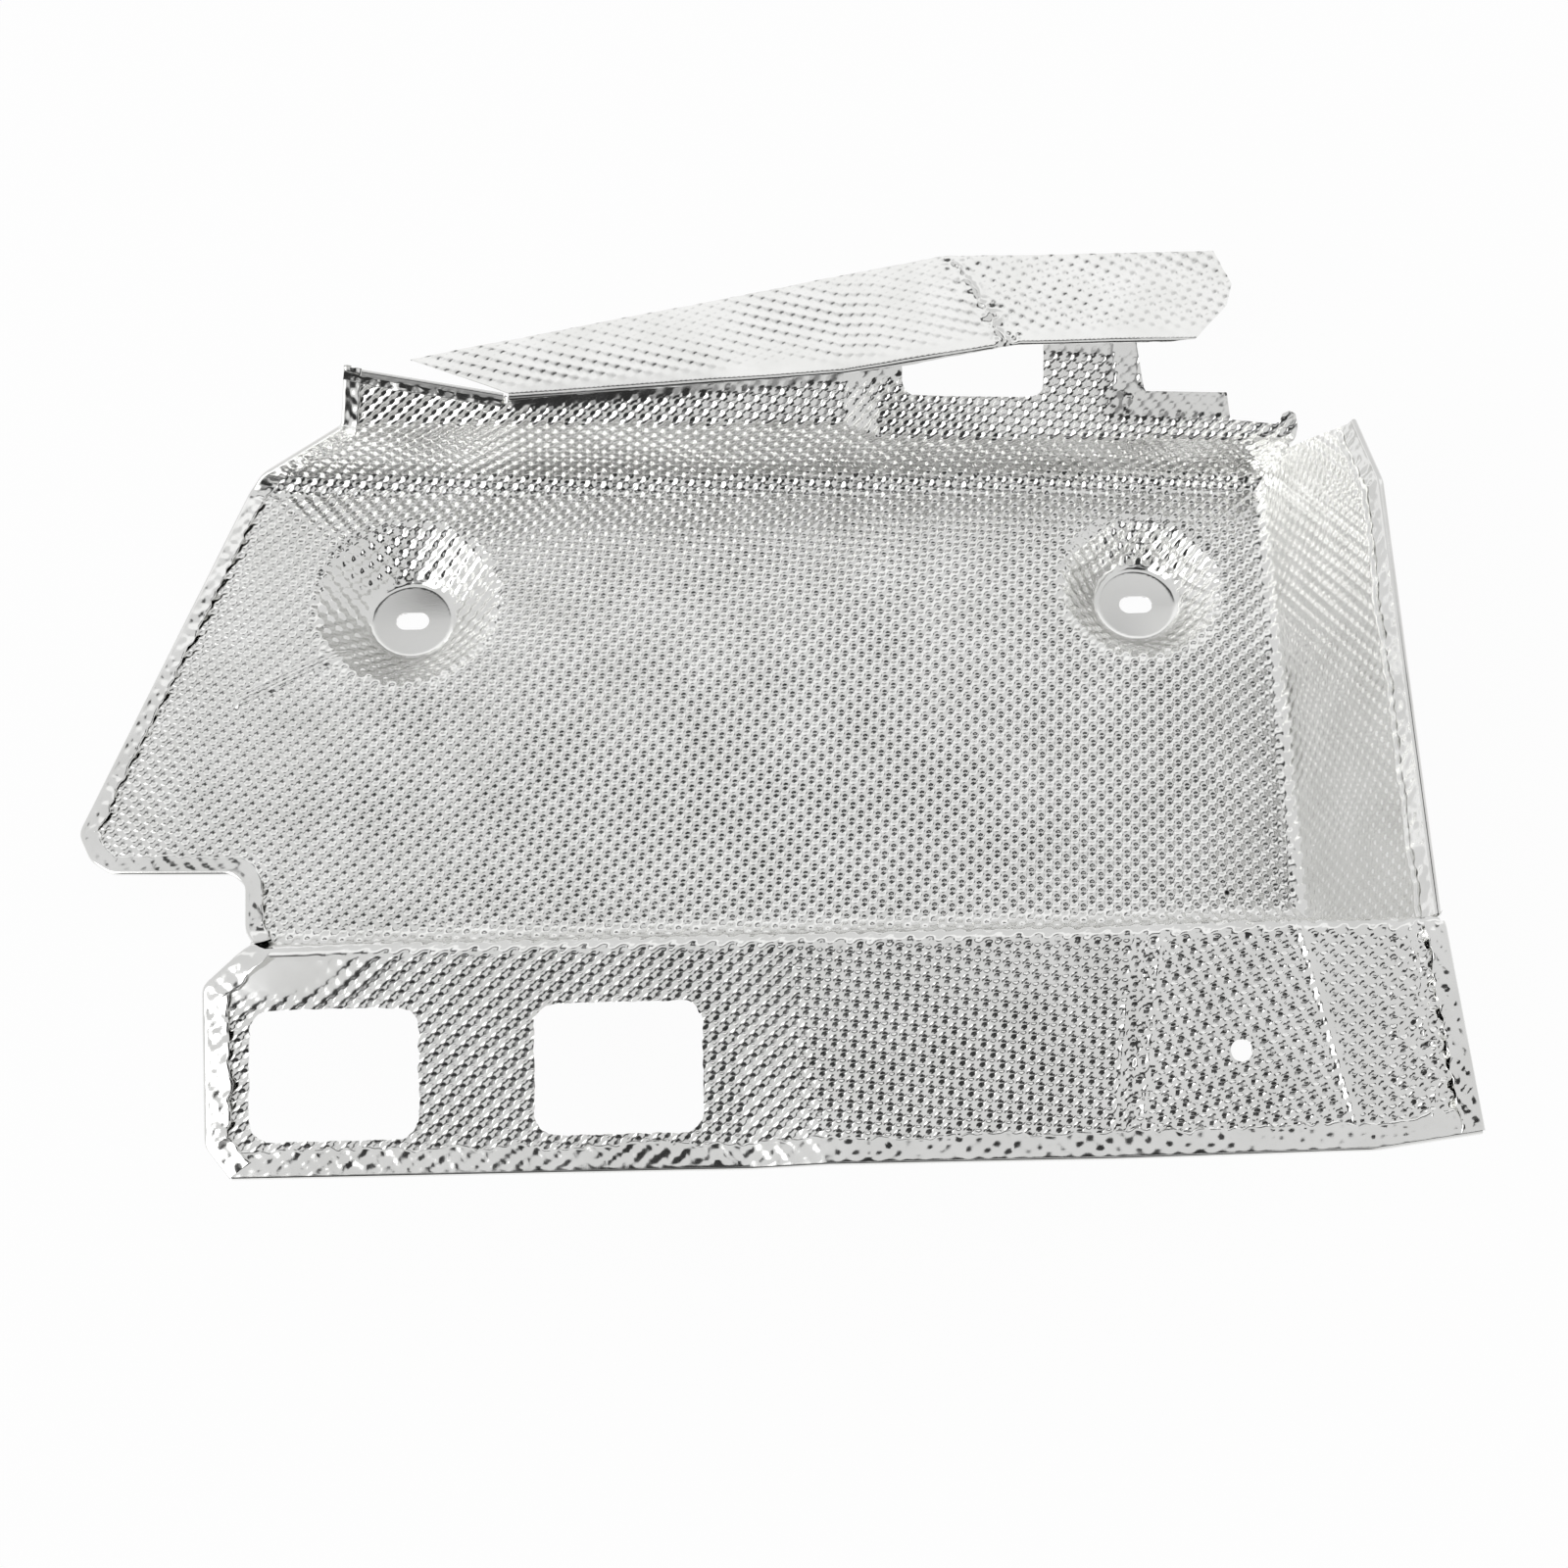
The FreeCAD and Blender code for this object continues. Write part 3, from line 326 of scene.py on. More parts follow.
def noise(x, y, seed):
    """Soft random height between -1 and 1 on a unit grid."""
    table = np.random.default_rng(seed).uniform(-1, 1, (NOISE_CELLS, NOISE_CELLS))
    cell_x = np.floor(x).astype(int)
    cell_y = np.floor(y).astype(int)
    share_x = smooth(x - cell_x, 0, 1)
    share_y = smooth(y - cell_y, 0, 1)

    def at(dx, dy):
        return table[(cell_x + dx) % NOISE_CELLS, (cell_y + dy) % NOISE_CELLS]

    low = at(0, 0) * (1 - share_x) + at(1, 0) * share_x
    high = at(0, 1) * (1 - share_x) + at(1, 1) * share_x
    return low * (1 - share_y) + high * share_y


def ridges(x, y, seed):
    """Sharp creases, 1 on the crease and falling away from it."""
    return (1 - np.abs(noise(x, y, seed))) ** CREASE_POWER


def dents(x, y, height, length, seed):
    """Soft dents of a height and length."""
    return height * noise(x / length, y / length, seed)


def folds(x, y, height, length, seed):
    """Sharp folds of a height and length."""
    return height * ridges(x / length, y / length, seed)


def ridge(distance, height, width):
    """Raised line, seen from a distance to its middle."""
    return height * np.exp(-(distance / width) ** 2)


def fade_in(distance, least, start, end):
    """Least share up to the start of a span, growing to 1 at its end."""
    return least + (1 - least) * smooth(distance, start, end)


def dimples(u, v, angle, lean=DIMPLE_LEAN):
    """Dimple pattern between -1 and 1: pointed bumps and flat-bottomed pits on a slanted grid."""
    p = u * math.cos(angle) + v * math.sin(angle)
    q = v * math.cos(angle) - u * math.sin(angle)
    rising = np.cos(2 * np.pi * (p - q) / PITCH)
    falling = np.cos(2 * np.pi * (p + q) / PITCH)
    wave = ((1 + lean) * rising + (1 - lean) * falling) / 2
    deep = PIT_STEEPNESS * np.maximum(-wave, 0)
    pit = deep / (1 + deep ** PIT_EDGE) ** (1 / PIT_EDGE)
    return np.where(wave > 0, wave, -pit)


def line_distance(x, y, start, end):
    """Distance to a straight line in plan."""
    dx = end[0] - start[0]
    dy = end[1] - start[1]
    share = np.clip(((x - start[0]) * dx + (y - start[1]) * dy) / (dx * dx + dy * dy), 0, 1)
    return np.hypot(x - start[0] - share * dx, y - start[1] - share * dy)


def line_side(x, y, line):
    """Positive to the right of a crease that runs from back to front."""
    (ax, ay), (bx, by) = line
    return (bx - ax) * (y - ay) - (by - ay) * (x - ax)


def polygon_distance(corners, x, y):
    """Signed distance to a polygon in plan, positive inside."""
    nearest = np.full_like(x, np.inf)
    inside = np.zeros(x.shape, bool)
    for start, end in zip(corners, corners[1:] + corners[:1]):
        nearest = np.minimum(nearest, line_distance(x, y, start, end))
        dx = end[0] - start[0]
        dy = end[1] - start[1]
        crosses = (start[1] > y) != (end[1] > y)
        if dy != 0:
            inside ^= crosses & (x < start[0] + (y - start[1]) * dx / dy)
    return np.where(inside, nearest, -nearest)


def box_distance(x, y, middle, size, corner):
    """Signed distance to a rounded rectangle, negative inside."""
    across = np.abs(x - middle[0]) - size[0] / 2 + corner
    up = np.abs(y - middle[1]) - size[1] / 2 + corner
    outside = np.hypot(np.maximum(across, 0), np.maximum(up, 0))
    return outside + np.minimum(np.maximum(across, up), 0) - corner


def bisect(low, high, short):
    """Place between low and high up to which short holds."""
    for _ in range(BISECTIONS):
        middle = (low + high) / 2
        below = short(middle)
        low = np.where(below, middle, low)
        high = np.where(below, high, middle)
    return (low + high) / 2


def run_path(length, runs):
    """Distance along and height after a length of straight runs, each followed by a bend."""
    along = np.zeros_like(length)
    height = np.zeros_like(length)
    base = np.zeros_like(length)
    left = np.array(length)
    for straight, turn, radius in runs:
        part = np.clip(left, 0, straight)
        along += part * np.cos(base)
        height += part * np.sin(base)
        left = left - straight
        sense = np.sign(turn)
        swept = np.clip(left, 0, radius * np.abs(turn)) / radius * sense
        along += radius * sense * (np.sin(base + swept) - np.sin(base))
        height += radius * sense * (np.cos(base) - np.cos(base + swept))
        left = left - radius * np.abs(turn)
        base = base + turn
    return along, height


STRAIGHT_ON = (np.inf, 0.0, 1.0)


def front_runs(x, v):
    """Floor, front wall and skirt, going forward; the skirt's joggle runs on a slant."""
    lean = FRONT_FOOT_Y - CREST_Y
    rise = math.atan2(CREST_HEIGHT, lean)
    station = x + JOGGLE_SLANT * np.minimum(v - CREST_LENGTH, 0)
    fall = np.arctan2(np.interp(station, *SKIRT_DROP), SKIRT_DEPTH)
    foot = FRONT_RADIUS * math.tan(rise / 2)
    crest = CREST_RADIUS * np.tan((rise + fall) / 2)
    wall = math.hypot(lean, CREST_HEIGHT)
    return [
        (-FRONT_FOOT_Y - foot, rise, FRONT_RADIUS),
        (wall - foot - crest, -(rise + fall), CREST_RADIUS),
        STRAIGHT_ON,
    ]


def back_line(x):
    """Y at which the step stands on the floor."""
    return BACK_Y - x * math.tan(BACK_SKEW)


def plate(x):
    """Start, length and slope of the plate between step and flange."""
    station = np.maximum(x, FLANGE_LEFT)
    step = np.interp(x, *STEP_HEIGHT)
    run = np.interp(station, BEND_X, BEND_Y) - back_line(station) - STEP_LEAN
    climb = np.interp(station, BEND_X, BEND_HEIGHT) - np.interp(station, *STEP_HEIGHT)
    return step, np.hypot(run, climb), np.arctan2(climb, run)


def back_runs(x, flange):
    """Floor, step, plate and, where there is one, flange, going backward."""
    step, length, slope = plate(x)
    rise = np.arctan2(step, STEP_LEAN)
    foot = BACK_RADIUS * np.tan(rise / 2)
    top = STEP_RADIUS * np.tan((rise - slope) / 2)
    bend = FLANGE_RADIUS * np.tan(slope / 2)
    runs = [
        (back_line(x) - foot, rise, BACK_RADIUS),
        (np.hypot(step, STEP_LEAN) - foot - top, slope - rise, STEP_RADIUS),
    ]
    if flange:
        runs.append((length - top - bend, -slope, FLANGE_RADIUS))
    return runs + [STRAIGHT_ON]


def bend_start(x):
    """Length along the sheet at which the plate turns into the flange."""
    floor, step, rest = back_runs(x, True)[:3]
    bends = sum(radius * np.abs(turn) for _, turn, radius in (floor, step))
    return floor[0] + step[0] + rest[0] + bends


def dish_profile(rim):
    """Radii from a dish's middle outward, and how deep the floor is pressed there."""
    slope = math.atan2(DISH_DEPTH, rim - DISH_FLAT)
    flat = DISH_FLAT_RADIUS * math.tan(slope / 2)
    edge = DISH_RIM_RADIUS * math.tan(slope / 2)
    cone = math.hypot(DISH_DEPTH, rim - DISH_FLAT)
    runs = [
        (DISH_FLAT - flat, slope, DISH_FLAT_RADIUS),
        (cone - flat - edge, -slope, DISH_RIM_RADIUS),
        STRAIGHT_ON,
    ]
    radius, height = run_path(np.linspace(0, DISH_SPAN * rim, DISH_POINTS), runs)
    return radius, height - DISH_DEPTH


DISHES = {side: dish_profile(rim) for side, rim in DISH_RIMS.items()}


def dish_radius(x, y, side):
    """Distance in plan from the middle of a dish."""
    return np.hypot(x - side * SLOT_X, y)


def dish_height(x, y):
    """How far the floor is pressed down by the fixing dishes."""
    return sum(np.interp(dish_radius(x, y, side), *DISHES[side]) for side in DISHES)


def on_form(u, v, flange=False):
    """Middle of the sheet: skirt, front wall, floor with dishes, step, plate and flange."""
    front, front_height = run_path(np.maximum(-v, 0), front_runs(u, v))
    back, back_height = run_path(np.maximum(v, 0), back_runs(u, flange))
    y = back - front
    height = front_height + back_height
    height = height + np.where(height > 0, 0, dish_height(u, y))
    return np.stack([u, y, LEVEL + height], axis=-1)


def on_flange(u, v):
    """Middle of the sheet, bent over to the flange."""
    return on_form(u, v, True)


def on_tip(u, v):
    """Free tip of the flange, level with the left end of its bend."""
    edge = np.full_like(u, FLANGE_LEFT)
    y = on_flange(edge, v)[..., 1]
    return np.stack([u, y, np.full_like(u, LEVEL + BEND_HEIGHT[0])], axis=-1)


def wall_foot(y):
    """X at which right wall and floor would meet in a sharp corner."""
    return WALL_FOOT_X + (y - WALL_MIDDLE_Y) * math.tan(WALL_SKEW)


def wall_start(y):
    """X at which the floor begins to turn up into the right wall."""
    return wall_foot(y) - WALL_RADIUS * math.tan(WALL_ANGLE / 2)


WALL_BEND = WALL_RADIUS * (1 - math.cos(WALL_ANGLE))


def wall_length(height):
    """Sheet from the start of the right wall's bend up to a height."""
    return WALL_RADIUS * WALL_ANGLE + (height - WALL_BEND) / math.sin(WALL_ANGLE)


def wall_limit(y, height):
    """X of the right wall and of its rounded foot at a height above the floor."""
    turned = np.arccos(1 - np.clip(height, 0, WALL_BEND) / WALL_RADIUS)
    straight = np.maximum(height - WALL_BEND, 0) / math.tan(WALL_ANGLE)
    return wall_start(y) + WALL_RADIUS * np.sin(turned) + straight


def on_wall(u, v):
    """Middle of the sheet on the right wall; u runs on from the floor and v is Y."""
    start = wall_start(v)
    runs = [(0.0, WALL_ANGLE, WALL_RADIUS), STRAIGHT_ON]
    along, height = run_path(np.maximum(u - start, 0), runs)
    return np.stack([start + np.minimum(u - start, 0) + along, v, LEVEL + height], axis=-1)


def section_height(y):
    """Height of the pressed form above the floor at the right wall."""
    v = np.linspace(*SHEET_REACH, SECTION_POINTS)
    points = on_flange(np.full_like(v, WALL_FOOT_X), v)
    return np.interp(y, points[:, 1], points[:, 2] - LEVEL)


def form_field(u, v, points):
    """Positive on the pressed form inside its outline and outside its openings."""
    x, y, height = points[..., 0], points[..., 1], points[..., 2] - LEVEL
    field = polygon_distance(FORM_OUTLINE, x, y)
    behind_crest = y > CREST_Y + CREST_BACK
    field = np.where(behind_crest, np.minimum(field, wall_limit(y, height) - x), field)
    ear = EAR_SLANT * (x - np.interp(height, *EAR_EDGE))
    at_ear = (v > 0) & (height > 0) & (x < FLANGE_LEFT)
    field = np.where(at_ear, np.minimum(field, ear), field)
    by_flange = (v > 0) & (x > FLANGE_LEFT)
    field = np.where(by_flange, np.minimum(field, bend_start(u) - v), field)
    ragged = sum(dents(x, y, *uneven) for uneven in WINDOW_RAGGED)
    for middle in WINDOWS:
        field = np.minimum(field, box_distance(x, y, middle, WINDOW_SIZE, WINDOW_CORNER) + ragged)
    for side in DISHES:
        middle = (side * SLOT_X, 0.0)
        slot = box_distance(x, y, middle, (SLOT_LENGTH, SLOT_WIDTH), SLOT_WIDTH / 2)
        field = np.minimum(field, slot)
    field = np.minimum(field, np.hypot(x - HOLE[0], y - HOLE[1]) - HOLE_RADIUS)
    middle = ((PORT[0] + PORT[1]) / 2, PORT_SILL + FAR / 2)
    port = box_distance(x, y, middle, (PORT[1] - PORT[0], FAR), PORT_CORNER)
    return np.where(v > 0, np.minimum(field, port + PORT_RAGGED * ragged), field)


def flange_field(u, v, points):
    """Positive on the flange, behind its bend and inside its outline."""
    x, y = points[..., 0], points[..., 1]
    field = np.minimum(polygon_distance(FLANGE_OUTLINE, x, y), v - bend_start(u))
    return field + dents(x, y, *FLANGE_RAGGED)


def tip_field(u, v, points):
    """Positive on the free tip of the flange."""
    return polygon_distance(TIP_OUTLINE, points[..., 0], points[..., 1])


def wall_field(u, v, points):
    """Positive on the right wall, above the pressed form and below its top edge."""
    y, height = v, points[..., 2] - LEVEL
    top = np.interp(y, *WALL_TOP)
    field = np.minimum(u - wall_start(y), WALL_TOP_SLANT * (top - height))
    return np.minimum(field, height - section_height(y))


def hem_distance(x, y):
    """Distance in plan to the folded edges of wing and skirt."""
    chain = WING + [CREST_LEFT] + SKIRT
    return np.minimum.reduce([line_distance(x, y, a, b) for a, b in zip(chain, chain[1:])])


def crease_distance(x, y, crease):
    """Distance to a crease of the skirt, far away on the rest of the form."""
    return np.where(y < CREST_Y, line_distance(x, y, *crease), FAR)


def ledge_share(x, v):
    """1 on the ledge beside the flange at the right rear, 0 elsewhere."""
    return smooth(x, *LEDGE_X) * smooth(v, *LEDGE_V)


def form_pattern(u, v, x, y, height):
    """Dimples of the form: turned between the skirt's creases, leaning where it is steep."""
    on_skirt = y < CREST_Y
    creased = on_skirt & (line_side(x, y, INNER_CREASE) > 0) & (line_side(x, y, OUTER_CREASE) < 0)
    leaning = (on_skirt & (x < JOGGLE_X)) | ((v > 0) & (height > STEEP_HEIGHT))
    lean = np.where(leaning, STEEP_LEAN, DIMPLE_LEAN)
    turned = dimples(u, v, ROW_ANGLE + SKIRT_TURN, lean)
    return np.where(creased, turned, dimples(u, v, ROW_ANGLE, lean))


def form_level(u, v, x, y):
    """Share of their height that the form's dimples keep near folds, dishes and creases."""
    level = 1 + dents(x, y, *UNEVEN_DIMPLES)
    for side in DISHES:
        level = level * fade_in(dish_radius(x, y, side) - DISH_FLAT, *DISH_FADE)
    level *= fade_in(np.abs(y - CREST_Y - CREST_BACK), *CREST_FADE)
    level *= fade_in(np.where(y < CREST_Y, FAR, wall_start(y) - x), *WALL_FADE)
    level *= fade_in(hem_distance(x, y), *HEM_FADE)
    bare = np.hypot((x - BARE_CORNER[0]) / BARE_SIZE[0], (y - BARE_CORNER[1]) / BARE_SIZE[1])
    level *= fade_in(bare, *BARE_FADE)
    to_bend = np.where((v > 0) & (x > FLANGE_LEFT), bend_start(u) - v, FAR)
    level *= fade_in(to_bend, *BEND_FADE)
    level *= 1 - LEDGE_FLATTENING * ledge_share(x, v)
    level *= fade_in(crease_distance(x, y, INNER_CREASE) + dents(x, y, *INNER_WANDER), *INNER_FADE)
    level *= fade_in(crease_distance(x, y, OUTER_CREASE), *OUTER_FADE)
    for line in BUNDLE:
        level *= 1 - BUNDLE_FLATTENING * ridge(line_distance(x, y, *line), 1.0, BUNDLE_RIDGE[1])
    return level


def form_creases(v, x, y):
    """Creases, dents and crumpling of the form."""
    height = dents(x, y, *FORM_DENTS)
    height += ridge(crease_distance(x, y, OUTER_CREASE), *OUTER_RIDGE)
    height += ridge(crease_distance(x, y, INNER_CREASE) - INNER_RIDGE_OFFSET, *INNER_RIDGE)
    height += ledge_share(x, v) * folds(x, y, *LEDGE_FOLDS)
    for line in BUNDLE:
        height += ridge(line_distance(x, y, *line), *BUNDLE_RIDGE)
    corner = (y < CREST_Y) * smooth(x, *CORNER_X)
    return height + corner * (folds(x, y, *CORNER_FOLDS) + dents(x, y, *CORNER_DENTS))


def emboss_form(u, v, points):
    """Height that dimples, creases and dents add to the pressed form."""
    x, y, height = points[..., 0], points[..., 1], points[..., 2] - LEVEL
    pattern = form_pattern(u, v, x, y, height)
    return DIMPLE * form_level(u, v, x, y) * pattern + form_creases(v, x, y)


def emboss_flange(u, v, points):
    """Height that dimples, dents and the wrinkled fold add to the flange."""
    x, y = points[..., 0], points[..., 1]
    left = dimples(u, v, ROW_ANGLE + FLANGE_TURN)
    right = dimples(u, v, ROW_ANGLE + FLANGE_END_TURN)
    fold_x, fold_y = FLANGE_FOLD[0]
    pattern = np.where(x + (y - fold_y) * FLANGE_FOLD_LEAN < fold_x, left, right)
    fold = line_distance(x + dents(x, y, *FOLD_WANDER), y, *FLANGE_FOLD)
    level = fade_in(v - bend_start(u), *FLANGE_BEND_FADE) * fade_in(fold, *FLANGE_FOLD_FADE)
    wrinkle = ridge(fold, *FOLD_RIDGE) + ridge(fold, *FOLD_BAND) * dents(x, y, *FOLD_WRINKLES)
    return FLANGE_DIMPLE * level * pattern + wrinkle + dents(x, y, *FLANGE_DENTS)


def emboss_wall(u, v, points):
    """Height that dimples, dents and folds add to the right wall."""
    height = points[..., 2] - LEVEL
    level = fade_in(height, *WALL_FOOT_FADE) * fade_in(WALL_TOP[1][0] - height, *WALL_HEM_FADE)
    uneven = dents(u, v, *WALL_DENTS) + folds(u, v, *WALL_FOLDS) * smooth(v, *WALL_FOLDS_Y)
    return WALL_DIMPLE * level * dimples(u, v, ROW_ANGLE) + uneven


class Patch:
    """A stretch of sheet: a slanted grid, laid on a surface, embossed and trimmed to a field."""

    def __init__(self, extent, step, locate, field, emboss, angle, lift):
        self.locate, self.field, self.emboss, self.angle = locate, field, emboss, angle
        (u0, u1), (v0, v1) = extent
        corners = np.array([(u, v) for u in (u0, u1) for v in (v0, v1)])
        p, q = self.slant(corners[:, 0], corners[:, 1])
        p_values = np.arange(math.floor(p.min() / step), math.ceil(p.max() / step) + 1) * step
        q_values = np.arange(math.floor(q.min() / step), math.ceil(q.max() / step) + 1) * step
        self.p, self.q = np.meshgrid(p_values, q_values)
        u, v = self.straight(self.p, self.q)
        within = np.minimum.reduce([u - u0, u1 - u, v - v0, v1 - v])
        value = np.minimum(field(u, v, locate(u, v)), within)
        self.inside = value > 0
        self.snap(value, step)
        self.faces = self.make_faces()
        self.points = self.make_points(lift)

    def slant(self, u, v):
        """Grid coordinates of a place on the laid-out sheet."""
        c, s = math.cos(self.angle), math.sin(self.angle)
        return u * c + v * s, v * c - u * s

    def straight(self, p, q):
        """Place on the laid-out sheet of grid coordinates."""
        c, s = math.cos(self.angle), math.sin(self.angle)
        return p * c - q * s, q * c + p * s

    def snap(self, value, step):
        """Move the first points outside the edge onto it."""
        padded = np.pad(self.inside, 1)
        near = np.zeros_like(self.inside)
        for dy in (0, 1, 2):
            for dx in (0, 1, 2):
                near |= padded[dy:dy + near.shape[0], dx:dx + near.shape[1]]
        slope_q, slope_p = np.gradient(value, step)
        edge = near & ~self.inside
        p, q = self.p[edge], self.q[edge]
        gp, gq = slope_p[edge], slope_q[edge]
        size = np.maximum(gp * gp + gq * gq, LEAST_SLOPE)
        error = value[edge]
        reach = SNAP_REACH * step
        for _ in range(SNAP_ROUNDS):
            p = p + np.clip(-error * gp / size, -reach, reach)
            q = q + np.clip(-error * gq / size, -reach, reach)
            u, v = self.straight(p, q)
            error = self.field(u, v, self.locate(u, v))
        self.p[edge] = np.clip(p, self.p[edge] - reach, self.p[edge] + reach)
        self.q[edge] = np.clip(q, self.q[edge] - reach, self.q[edge] + reach)

    def make_faces(self):
        """Quads of the grid that touch the inside."""
        quads = grid_faces(*self.p.shape)
        return quads[self.inside.ravel()[quads].any(axis=-1)]

    def relief(self, p, q):
        """Places on the pressed surface and the height of the embossing there."""
        u, v = self.straight(p, q)
        base = self.locate(u, v)
        return base, self.emboss(u, v, base)

    def make_points(self, lift):
        """Points of the embossed surface, with normals from the slope of the embossing."""
        tangents = []
        for turn_p, turn_q in ((NEAR, 0), (0, NEAR)):
            ahead, high = self.relief(self.p + turn_p, self.q + turn_q)
            behind, low = self.relief(self.p - turn_p, self.q - turn_q)
            tangents.append(((ahead - behind) / (2 * NEAR), (high - low) / (2 * NEAR)))
        (across, rise_p), (along, rise_q) = tangents
        normal = unit(np.cross(across, along))
        tilt_p = np.cross(along, normal)
        tilt_q = np.cross(normal, across)
        shaded = unit(normal - tilt_p * rise_p[..., None] - tilt_q * rise_q[..., None])
        self.normal = normal.reshape(-1, 3)
        self.shaded = shaded.reshape(-1, 3)
        base, raised = self.relief(self.p, self.q)
        return (base + normal * (raised + lift)[..., None]).reshape(-1, 3)

    def rim(self):
        """Cut edge of the sheet, as quads between its upper and lower side."""
        edges = np.concatenate([self.faces[:, [i, (i + 1) % 4]] for i in range(4)])
        ends = np.sort(edges, axis=1)
        _, first, count = np.unique(ends, axis=0, return_index=True, return_counts=True)
        edges = edges[first[count == 1]]
        upper = self.points[edges]
        lower = upper - SHEET * self.normal[edges]
        quads = np.stack([upper[:, 1], upper[:, 0], lower[:, 0], lower[:, 1]], axis=1)
        return quads.reshape(-1, 3), np.arange(len(edges) * 4).reshape(-1, 4)


def grid_faces(rows, columns):
    """Quads of a grid of points."""
    number = np.arange(rows * columns).reshape(rows, columns)
    corners = [number[:-1, :-1], number[:-1, 1:], number[1:, 1:], number[1:, :-1]]
    return np.stack(corners, axis=-1).reshape(-1, 4)


def unit(vectors):
    """Vectors brought to length 1."""
    return vectors / np.maximum(np.linalg.norm(vectors, axis=-1, keepdims=True), LEAST_LENGTH)


def vertex_normals(points, faces):
    """Smooth normals, weighted by face area."""
    a, b, c, d = (points[faces[:, i]] for i in range(4))
    face_normals = np.cross(c - a, d - b)
    normals = np.zeros_like(points)
    for i in range(4):
        np.add.at(normals, faces[:, i], face_normals)
    return unit(normals)


def add_piece(name, points, faces, normals, material):
    """A mesh object from the points that its faces use, riding on the part."""
    used, faces = np.unique(faces, return_inverse=True)
    faces = faces.reshape(-1, 4)
    mesh = bpy.data.meshes.new(name)
    mesh.vertices.add(len(used))
    mesh.vertices.foreach_set("co", (points[used] * MM).ravel())
    mesh.loops.add(faces.size)
    mesh.loops.foreach_set("vertex_index", faces.ravel())
    mesh.polygons.add(len(faces))
    mesh.polygons.foreach_set("loop_start", np.arange(0, faces.size, 4))
    mesh.update(calc_edges=True)
    mesh.polygons.foreach_set("use_smooth", np.ones(len(faces), bool))
    if normals is not None:
        mesh.normals_split_custom_set_from_vertices(normals[used])
    mesh.materials.append(material)
    piece = bpy.data.objects.new(name, mesh)
    bpy.context.scene.collection.objects.link(piece)
    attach(piece, "root")
    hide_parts(NODE)


def add_sheet(name, extent, locate, field, emboss, angle, material, cuts=()):
    """Both sides and the cut edge of a stretch of sheet, in several pieces where it is large."""
    upper = Patch(extent, TOP_STEP, locate, field, emboss, angle, SHEET / 2)
    middle_v = upper.straight(upper.p, upper.q)[1].ravel()[upper.faces].mean(axis=1)
    limits = [-np.inf, *cuts, np.inf]
    for number, (low, high) in enumerate(zip(limits, limits[1:]), start=1):
        chosen = upper.faces[(middle_v >= low) & (middle_v < high)]
        add_piece("%s_top_%d" % (name, number), upper.points, chosen, upper.shaded, material)
    rim_points, rim_faces = upper.rim()
    add_piece(name + "_edge", rim_points, rim_faces, None, material)
    lower = Patch(extent, UNDER_STEP, locate, field, emboss, angle, -SHEET / 2)
    faces = lower.faces[:, ::-1]
    add_piece(name + "_under", lower.points, faces, -lower.shaded, material)


def resample(corners, ease):
    """Points evenly along a polyline, its corners eased, and the length reached at each."""
    corners = np.array(corners, float)
    lengths = np.hypot(*np.diff(corners, axis=0).T)
    reached = np.concatenate([[0], np.cumsum(lengths)])
    places = np.linspace(0, reached[-1], max(2, round(reached[-1] / HEM_STEP)) + 1)
    line = np.stack([np.interp(places, reached, corners[:, i]) for i in (0, 1)], axis=1)
    window = max(1, round(ease / HEM_STEP)) | 1
    kernel = np.ones(window) / window
    padded = np.pad(line, ((window // 2, window // 2), (0, 0)), mode="edge")
    smoothed = np.stack([np.convolve(padded[:, i], kernel, "valid") for i in (0, 1)], axis=1)
    smoothed[0], smoothed[-1] = line[0], line[-1]
    return smoothed, places


def form_line(corners):
    """Line on the laid-out form through corners given in plan."""
    line, _ = resample(corners, HEM_EASE)
    x, y = line[:, 0], line[:, 1]
    low, high = (np.full_like(x, end) for end in SHEET_REACH)
    return np.stack([x, bisect(low, high, lambda v: on_form(x, v)[..., 1] < y)], axis=1)


def ear_line():
    """Line on the laid-out form down the slanted left end of the back wall."""
    height = np.linspace(EAR_TOP, EAR_FOOT, EAR_POINTS)
    u = np.interp(height, *EAR_EDGE)
    low, high = np.zeros_like(u), np.full_like(u, BEHIND)
    return np.stack([u, bisect(low, high, lambda v: on_form(u, v)[..., 2] - LEVEL < height)], axis=1)


def wall_line():
    """Line on the laid-out right wall along its top, and down its chamfer at the rear."""
    top, chamfer = (wall_length(height) for height in WALL_TOP[1][:2])
    ends = [(WALL_HEM_FRONT, top), (WALL_TOP[0][0], top), (WALL_TOP[0][1], chamfer)]
    return [(wall_start(y) + length, y) for y, length in ends]


